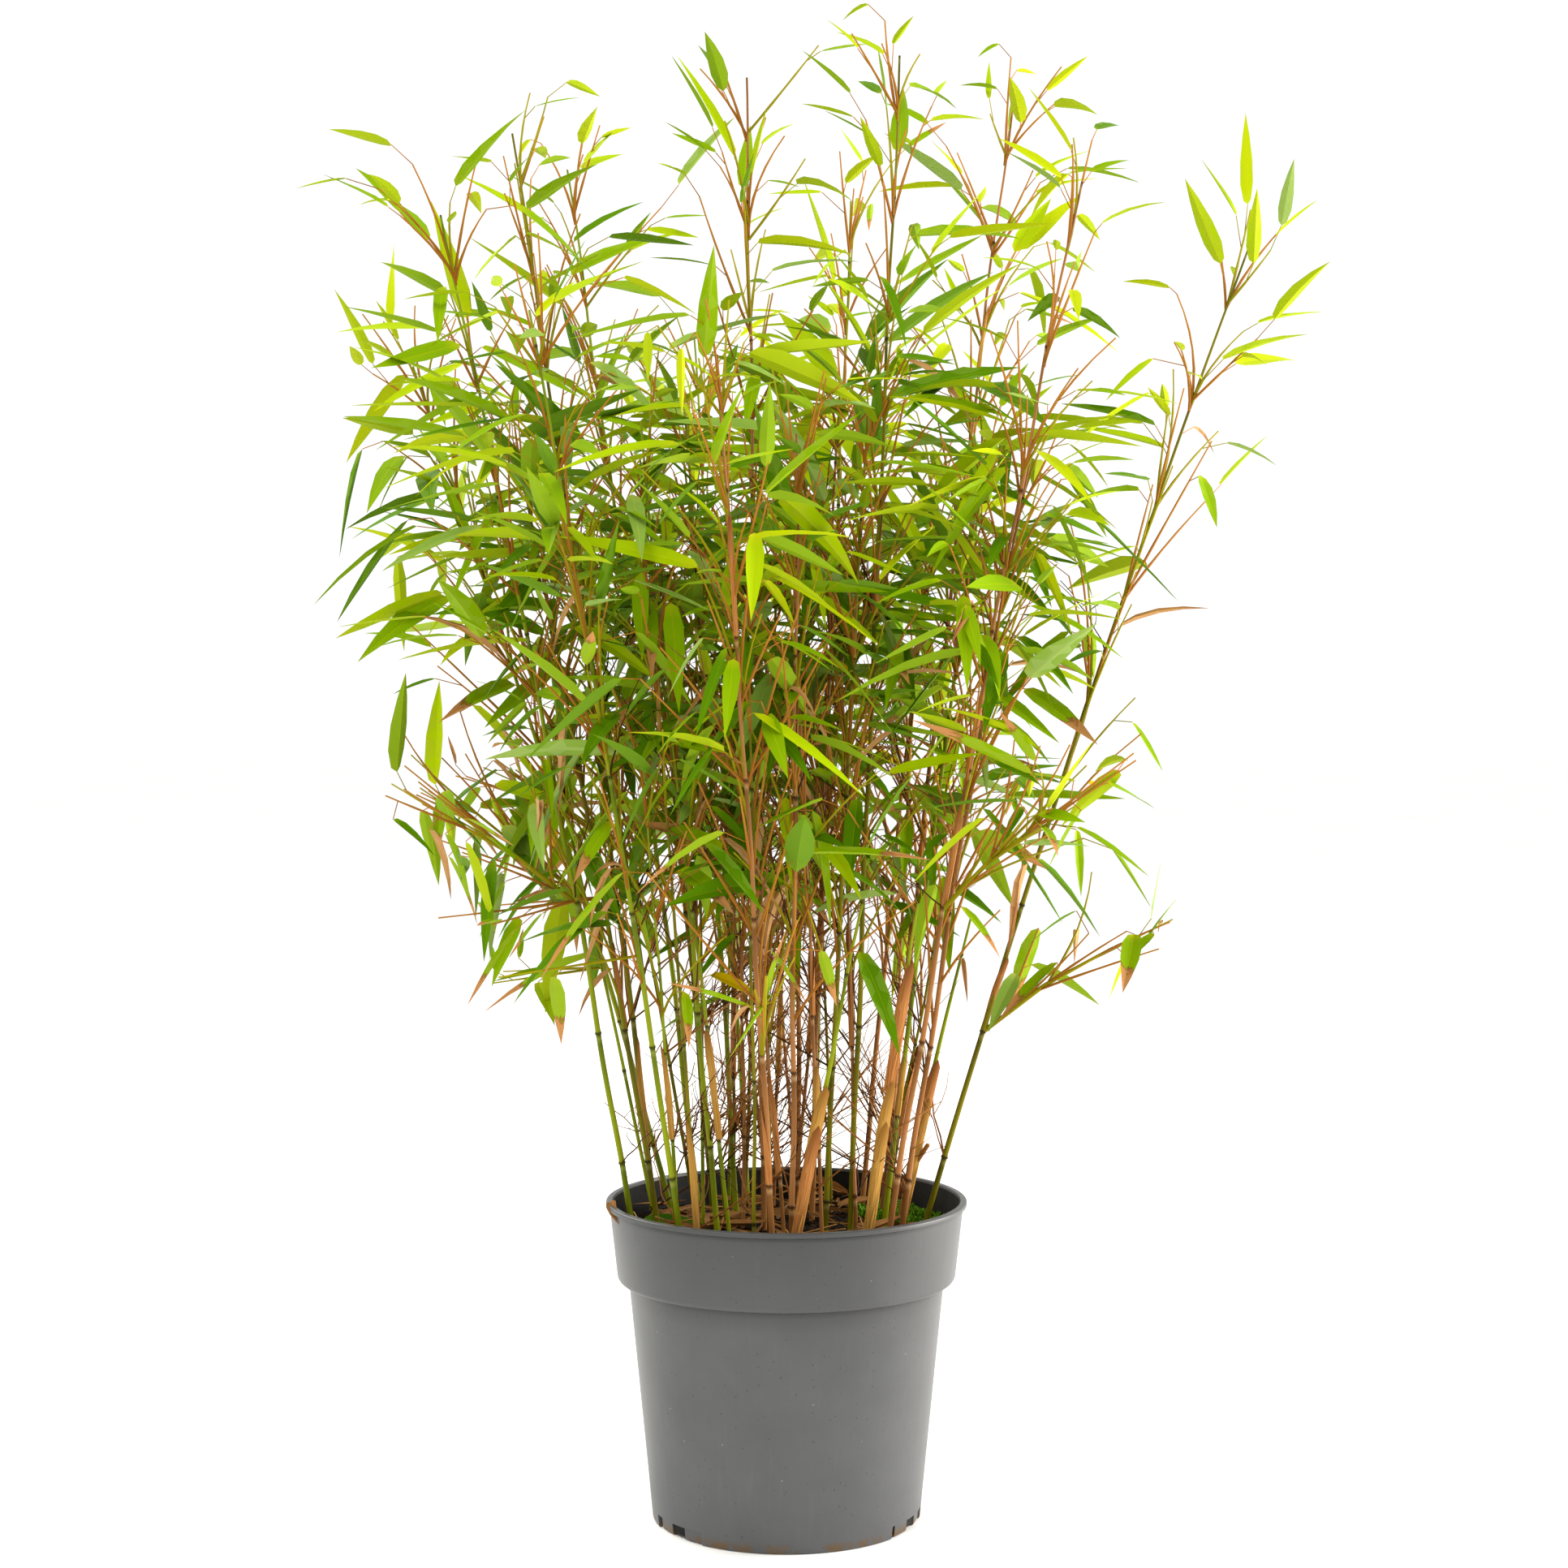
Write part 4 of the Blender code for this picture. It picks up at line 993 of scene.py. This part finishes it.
def blades(skin, root, towards, length, droop, width, fold, twist, roll):
    """Leaves: a lance-shaped outline on an arched midrib, folded up along it and twisted.

    The midrib is root + length (t d + droop t t g), with g the downward part square to d.  The
    half width goes as t^0.45 (1 - t)^1.1.  A ring's corners are left edge, rib, right edge, keel.
    """
    t = RING_PLACES[None, :, None]
    d = towards[:, None]
    hang = d * d[..., 2:] - UP
    size = length[:, None, None]
    bend = droop[:, None, None]
    middle = root[:, None] + size * (t * d + bend * t * t * hang)
    tangent = unit(d + 2.0 * bend * t * hang)
    level = unit(np.cross(UP, d) + 1e-6)
    over = np.cross(tangent, level)
    angle = roll[:, None, None] + twist[:, None, None] * t
    side = unit(level * np.cos(angle) + over * np.sin(angle))
    side = unit(side - dot(side, tangent) * tangent)
    face = np.cross(tangent, side)
    half = (t ** 0.45 * (1.0 - t) ** 1.1) / OUTLINE_PEAK * size * width[:, None, None] / 2
    out = side * half * np.cos(fold)[:, None, None]
    lift = face * half * np.sin(fold)[:, None, None]
    rib = face * RIB_HALF_THICKNESS
    rings = np.stack([middle + out + lift, middle + rib, middle - out + lift, middle - rib], axis=2)
    hang = hang[:, 0]
    tip = root + length[:, None] * (towards + droop[:, None] * hang)
    skin.loft(rings, np.stack([root, tip], axis=1), spans(RING_PLACES))


def deal_leaves(heart, twig):
    """Each blade's kind, dealt out by spray: brighter outwards and upwards by painted light, darker within
    by painted shade, ailing lower down.
    """
    twigs = len(heart)
    radial = np.hypot(heart[:, 0] / 0.30, heart[:, 1] / 0.27)
    height = (heart[:, 2] - 0.34) / 0.60
    # Painted light and shade: the kind follows where light would fall, brighter out and up, darker within.
    light = RADIAL_LIGHT * radial + UPWARD_LIGHT * height + draw.normal(0.0, LIGHT_SPREAD, twigs)
    kind = np.digitize(light, LIGHT_STEPS)
    names = np.array(["deep", "mid", "fresh_lit", "sunlit", "scorched", "yellowing", "dry", "glaucous_sheen"])
    low = np.clip((0.62 - heart[:, 2]) / 0.25, 0.0, 1.0)
    chance = between(0.0, 1.0, twigs)
    kind = np.where(chance < 0.01 + 0.10 * low, 4, kind)
    own = kind[twig]
    shift = draw.choice([-1, 0, 0, 0, 1], len(twig))
    own = np.where(own < 4, np.clip(own + shift, 0, 3), own)
    chance = between(0.0, 1.0, len(twig))
    own = np.where(chance < 0.24 * low[twig], 4, own)
    own = np.where(np.abs(chance - 0.5) < 0.001 + 0.008 * low[twig], 5, own)
    # A few blades, anywhere, take the pale waxy green with its painted sheen.
    own = np.where(np.abs(chance - 0.6) < 0.035, 7, own)
    own = np.where(chance > 0.994 - 0.20 * low[twig], 6, own)
    return names[own]


def make_foliage(limbs, weak):
    """Twigs, stalks and blades of every mass, each kind apart."""
    masses = [f"foliage_{limb.name}" for limb in limbs]
    masses += [f"foliage_low_{limbs[leader].name}" for leader, _, _ in SIDE_BRANCHES]
    roots = np.concatenate([whorls(*stem) for stem in stems(limbs, weak)] + [low_sprays(limbs)])
    start, end, azimuth, out = grow_twigs(roots)
    length = np.linalg.norm(end - start, axis=1)[:, None]
    path = bent(start, end, out * length * between(-0.09, 0.02, (len(start), 1)), 7)
    red = between(0.0, 1.0, len(start)) < RED_TWIGS
    radii = np.linspace(*TWIG_RADII, 7)[None] * np.ones((len(start), 1))
    radii[:, 2::2] *= 1.22
    joint, root, towards, size, droop, twig = grow_leaves(path, azimuth)
    shown = np.isin(np.arange(len(start)), twig) | (between(0.0, 1.0, len(start)) < BARE_TWIGS_KEPT)
    stalk = bent(joint, root, np.zeros_like(root), 3)
    stalk_radii = np.full(stalk.shape[:2], STALK_RADIUS)
    finishes = {"red": twig_material("young_red_twig", "#ba8230", "#8c5618"),
                "green": twig_material("green_twig", "#a89c14", "#7c7208")}
    for colour, chosen in (("red", red), ("green", ~red)):
        skin = Skin(f"twigs_{colour}")
        tubes(skin, path[chosen & shown], radii[chosen & shown], 5)
        bearing = chosen[twig]
        tubes(skin, stalk[bearing], stalk_radii[bearing], 3)
        if colour == "green":
            for leader, node, turn in SIDE_BRANCHES:
                tubes(skin, side_line(limbs[leader], node, turn)[None], SIDE_RADII, 8)
        skin.build([finishes[colour]], "culm", masses)
    kind = deal_leaves(end, twig)
    count = len(root)
    width = between(*LEAF_WIDTH_SHARE, count) * (1.0 + 0.18 * ease((0.60 - root[:, 2]) / 0.2))
    fold = between(math.radians(8), math.radians(28), count)
    twist = between(-0.55, 0.55, count)
    roll = between(-0.7, 0.7, count)
    for name in (*GREENS, "dry"):
        own = kind == name
        looks = np.stack([size, droop, width, fold, twist, roll])[:, own]
        if name == "dry":
            blade = dry_material("dry_blade", "#d8aa70", "#a87240", "#8e5a2a")
            looks = looks * DRY_STRETCH + DRY_CURL
        else:
            *faces, tip = GREENS[name]
            ends = ((0.60, "#6c3c0c"), (0.68, tip)) if name in DEAD_TIPS else ((0.0, tip), (1.0, tip))
            blade = leaf_material(f"{name}_blade", *faces, ends, DEAD_TIPS.get(name, TIP_FADE))
        skin = Skin(f"leaves_{name}")
        blades(skin, root[own], towards[own], *looks)
        skin.build([blade], "leaf", masses, crease=16.0)


# ---- sheaths, dead twigs and litter

SHEATH_LENGTH = (0.042, 0.078)
TAN_SHEATHS = 0.62
DEAD_TWIGS_BELOW = 0.60
DEAD_TWIG_RISE = (0.45, 1.40)
DEAD_TWIG_LENGTH = (0.025, 0.110)
# The share of dead twigs that are darker, partly with age and partly as painted shade for the clump's low
# shadow.
AGED_SHADE_TWIGS = 0.35
# The dead twigs are closest within this reach of a point at this x.
CROWDED_X = 0.01
CROWDED_REACH = 0.085
ZIGZAG = np.array([0.0, 1.0, -1.0, 1.0, -1.0, 1.0, 0.0]) * 0.8 * MM
# A dead stub at the right of the clump.
STUB_FOOT = np.array([[0.062, 0.020, 0.184]])
STUB_END = np.array([[0.091, 0.012, 0.236]])
STUB_BOW = np.array([[0.0, 0.0, 2.0 * MM]])
STUB_RADII = np.array([[1.9, 1.7, 2.0, 1.6, 1.5]]) * MM
# Dry leaves on the soil, and the ranges of their length, droop, width, fold, twist and roll.
LITTER = 84
LITTER_LOOKS = ((0.020, 0.055), (0.0, 0.12), (0.10, 0.22), (0.1, 0.9), (-1.5, 1.5), (-0.9, 0.9))
LITTER_EDGE = 0.102
STRAWS = 56
STRAW_LENGTH = 0.034


def sheaths(skin, foot, along, azimuth, radius, length, flare):
    """Papery sheaths: a split sleeve on the cane, its wrap narrowing to a loose pointed tip.

    At share s of the length the wrap spans plus and minus pi (0.94 - 0.80 s^1.6).  Its outer face
    stands off the cane by 0.42 mm, its inner one by 0.22 mm, and both by the flare times s^3.
    """
    s = np.linspace(0.0, 0.94, 6)[None, :, None]
    spoke = np.linspace(-1.0, 1.0, 6)
    around = np.concatenate([spoke, spoke[::-1]])[None, None]
    skin_depth = np.repeat([0.42 * MM, 0.22 * MM], len(spoke))[None, None]
    angle = around * math.pi * (0.94 - 0.80 * s ** 1.6)
    reach = radius[:, None, None] + skin_depth + flare[:, None, None] * s ** 3
    out = heading(azimuth, 0.0)
    first = unit(out - dot(out, along) * along)
    second = np.cross(along, first)
    rings = (foot[:, None, None] + along[:, None, None] * (length[:, None, None] * s)[..., None]
             + (reach * np.cos(angle))[..., None] * first[:, None, None]
             + (reach * np.sin(angle))[..., None] * second[:, None, None])
    tip = foot + along * length[:, None] + first * (radius + flare * 1.1)[:, None]
    base = foot + first * radius[:, None] * 0.9
    skin.loft(rings, np.stack([base, tip], axis=1), spans(s[0, :, 0] * 0.96 + 0.02))


def make_sheaths(limbs, weak, shoots):
    """Sheaths on the shoots, two to a node, and old ones on the canes, most on the clump's right.

    Each row is a foot x, y, z, the cane's direction there x, y, z, azimuth, radius, length, flare
    and a chance that deals the colour.
    """
    rows = []
    for limb in shoots:
        for place in np.concatenate([[0.004], limb.node_places(limb.cut)]):
            along = unit(limb.points(place + 0.02) - limb.points(place))
            for turn in (0.0, 2.4):
                rows.append([*(limb.points(place) + along * turn * MM), *along, turn - 1.2, 3.1 * MM,
                             0.082 - 0.01 * turn, 1.4 * MM, between(0.0, 0.9)])
    for limb in limbs + weak:
        share = 0.18 + 0.18 * ease((limb.foot[0] + 0.03) / 0.09)
        for i, place in enumerate(limb.node_places(0.8)):
            if between(0.0, 1.0) > share * (1.0 - 0.06 * i):
                continue
            along = unit(limb.points(place + 0.02) - limb.points(place))
            size = between(*SHEATH_LENGTH)
            middle = place + 0.3 * size / limb.length
            rows.append([*(limb.points(place) + along * 1.5 * MM), *along, between(0.0, math.tau),
                         limb.radius(middle), size, between(0.1, 1.3) * MM, between(0.0, 1.0)])
    table = np.array(rows)
    tan = table[:, 10] < TAN_SHEATHS
    colours = {"tan": ("#be8248", "#8c501e", "#60300e"), "straw": ("#c6984a", "#926422", "#704414")}
    for name, chosen in (("tan", tan), ("straw", ~tan)):
        part = table[chosen]
        skin = Skin(f"sheaths_{name}")
        sheaths(skin, part[:, :3], part[:, 3:6], *part[:, 6:10].T)
        skin.build([dry_material(f"{name}_sheath", *colours[name])], "culm", crease=50.0)


def make_dead_twigs(limbs, weak):
    """Thin dead twigs crossing inside the clump: each zigzags and forks twice.

    Each row is a foot x, y, z, azimuth, rise and length.
    """
    rows = []
    for limb in limbs + weak:
        for place in limb.node_places(0.8)[:6]:
            point = limb.points(place)
            if point[2] > DEAD_TWIGS_BELOW:
                continue
            inside = math.hypot(point[0] - CROWDED_X, point[1]) < CROWDED_REACH
            for _ in range(draw.integers(1, 7) if inside else draw.integers(0, 3)):
                inwards = math.atan2(-point[1], CROWDED_X - point[0]) + between(-1.7, 1.7)
                rows.append([*point, inwards, between(*DEAD_TWIG_RISE), between(*DEAD_TWIG_LENGTH)])
    table = np.array(rows)
    count = len(table)
    start, az, rise, size = table[:, :3], table[:, 3], table[:, 4], table[:, 5:]
    towards = heading(az, rise)
    across = unit(np.cross(towards, UP))
    path = bent(start, start + towards * size, across * size * between(-0.09, 0.09, (count, 1)), 7)
    path = path + across[:, None] * ZIGZAG[None, :, None]
    thick = between(0.62, 1.0, (count, 1)) * MM
    aged_shade = between(0.0, 1.0, count) < AGED_SHADE_TWIGS
    brown, grey = Skin("dead_twigs"), Skin("aged_shade_twigs")

    def skin_over(lines, foot, tip, sides):
        """Both kinds' tubes along these lines, tapering from foot to tip."""
        for skin, own in ((brown, ~aged_shade), (grey, aged_shade)):
            tubes(skin, lines[own], np.linspace(foot, tip, lines.shape[1])[None] * thick[own], sides)
    skin_over(path, 0.72, 0.34, 4)
    for knot, turn in ((2, -0.9), (4, 0.8)):
        fork = path[:, knot]
        away = heading(az + turn + between(-0.4, 0.4, count), rise * between(0.5, 1.0, count))
        end = fork + away * size * between(0.3, 0.6, (count, 1))
        skin_over(bent(fork, end, across * size * 0.03, 4), 0.42, 0.24, 3)
    tubes(brown, bent(STUB_FOOT, STUB_END, STUB_BOW, 5), STUB_RADII, 8)
    brown.build([twig_material("dead_brown_twig", "#a6703a", "#6a4016")], "culm")
    # Painted shade: these twigs' dark colours stand in part for the shadow low in the clump.
    grey.build([twig_material("aged_shade_dark_twig", "#6a441c", "#38200a")], "culm")


def lay_leaf(skin, root, towards, *looks):
    """One blade by itself: its length, droop, width, fold, twist and roll."""
    blades(skin, np.array([root]), unit(np.array([towards])), *np.array(looks)[:, None])


def make_litter():
    """Dry leaves and straws on the soil, a dry scrap over the rim and a fallen green leaf."""
    root = scattered(LITTER, 0.100)
    root[:, 2] += between(1.5, 6.0, LITTER) * MM
    towards = heading(between(0.0, math.tau, LITTER), between(-0.10, 0.30, LITTER))
    outward = np.hypot(*(root + towards * 0.04)[:, :2].T) > LITTER_EDGE
    towards[outward, :2] *= -1.0
    clear = off_moss(root + towards * 0.02)
    looks = [between(low, high, int(clear.sum())) for low, high in LITTER_LOOKS]
    skin = Skin("dry_litter")
    blades(skin, root[clear], towards[clear], *looks)
    lay_leaf(skin, (-0.1115, -0.022, POT_HEIGHT + 1.5 * MM), (0.35, -0.85, -0.25),
             0.026, 0.2, 0.34, 0.6, 1.4, 0.3)
    skin.build([dry_material("shed_leaf", "#b4824a", "#5e3c18", "#4a2a0e")], "leaf", crease=30.0)
    skin = Skin("fallen_leaf")
    lay_leaf(skin, (-0.092, 0.000, 0.1885), (0.95, -0.1, 0.12), 0.040, 0.15, 0.26, 0.35, 0.2, 0.5)
    tips = ((0.0, "#4c6a08"), (1.0, "#4c6a08"))
    fallen = leaf_material("fallen_green_blade", "#34600a", "#4c7410", "#5c7c10", tips, TIP_FADE)
    skin.build([fallen], "leaf", crease=30.0)
    start = scattered(STRAWS, 0.098)
    start[:, 2] += between(1.0, 4.0, STRAWS) * MM
    end = start + heading(between(0.0, math.tau, STRAWS), between(0.0, 0.35, STRAWS)) * STRAW_LENGTH
    far = np.hypot(end[:, 0], end[:, 1]) > LITTER_EDGE
    end[far, :2] = 2.0 * start[far, :2] - end[far, :2]
    clear = off_moss(start) & off_moss(end)
    lines = bent(start[clear], end[clear], np.zeros_like(start[clear]), 4)
    skin = Skin("straws")
    tubes(skin, lines, np.full(lines.shape[:2], 0.5 * MM), 4)
    skin.build([twig_material("shed_straw", "#c89854", "#5c3c18")], "growing_medium")


# ---- stage

CAMERA_PLACE = (0.0, -1.8, 0.5454)
CAMERA_PITCH = math.radians(2.46)
CAMERA_LENS = 65.23
CAMERA_SHIFT = -3 / 1932
FLOOR_REACH = 14.0
SURROUND = 1.07
# Soft boxes: name, place, what it faces, size, power and colour.
SOFT_BOXES = (("key_box", (-0.8, -1.0, 2.5), (0.0, 0.0, 0.6), 1.2, 28.0, "#fffaf0"),
              ("back_box", (-1.4, 1.5, 1.9), (0.0, 0.0, 0.6), 1.4, 36.0, "#fffdf2"),
              ("side_box", (1.9, 0.3, 0.7), (0.0, 0.0, 0.3), 1.2, 60.0, "#fffaf4"))


def add_light(name, place, aim, size, power, colour):
    """A square soft box at a place, turned to face its aim."""
    lamp = bpy.data.lights.new(name, "AREA")
    lamp.size = size
    lamp.energy = power
    lamp.color = linear(colour)[:3]
    holder = placed(name, lamp)
    holder.location = place
    back = unit(np.array(place) - np.array(aim))
    holder.rotation_euler = (math.acos(back[2]), 0.0, math.atan2(back[1], back[0]) + math.pi / 2)


def make_stage():
    """A pale floor, a white surround, soft boxes and the camera."""
    mesh = bpy.data.meshes.new("floor")
    corners = [(x * FLOOR_REACH, y * FLOOR_REACH, 0.0) for x, y in ((-1, -1), (1, -1), (1, 1), (-1, 1))]
    mesh.from_pydata(corners, [], [(0, 1, 2, 3)])
    mesh.materials.append(grained_material(*BOARD))
    floor = placed("floor", mesh)
    scene = bpy.context.scene
    scene.world = bpy.data.worlds.new("white_surround")
    scene.world.use_nodes = True
    surround = scene.world.node_tree.nodes["Background"].inputs
    surround["Color"].default_value = (1.0, 1.0, 1.0, 1.0)
    surround["Strength"].default_value = SURROUND
    for box in SOFT_BOXES:
        add_light(*box)
    lens = bpy.data.cameras.new("camera")
    lens.lens = CAMERA_LENS
    lens.sensor_width = 36.0
    lens.shift_x = CAMERA_SHIFT
    camera = placed("camera", lens)
    camera.location = CAMERA_PLACE
    camera.rotation_euler = (math.pi / 2 - CAMERA_PITCH, 0.0, 0.0)
    scene.camera = camera
    scene.view_settings.view_transform = "Standard"


def main():
    limbs = clump()
    weak = weak_canes()
    shoots = sheathed_shoots()
    make_pot()
    make_soil()
    make_crumbs()
    make_moss()
    make_canes(limbs, weak, shoots)
    make_foliage(limbs, weak)
    make_sheaths(limbs, weak, shoots)
    make_dead_twigs(limbs, weak)
    make_litter()
    make_stage()


main()
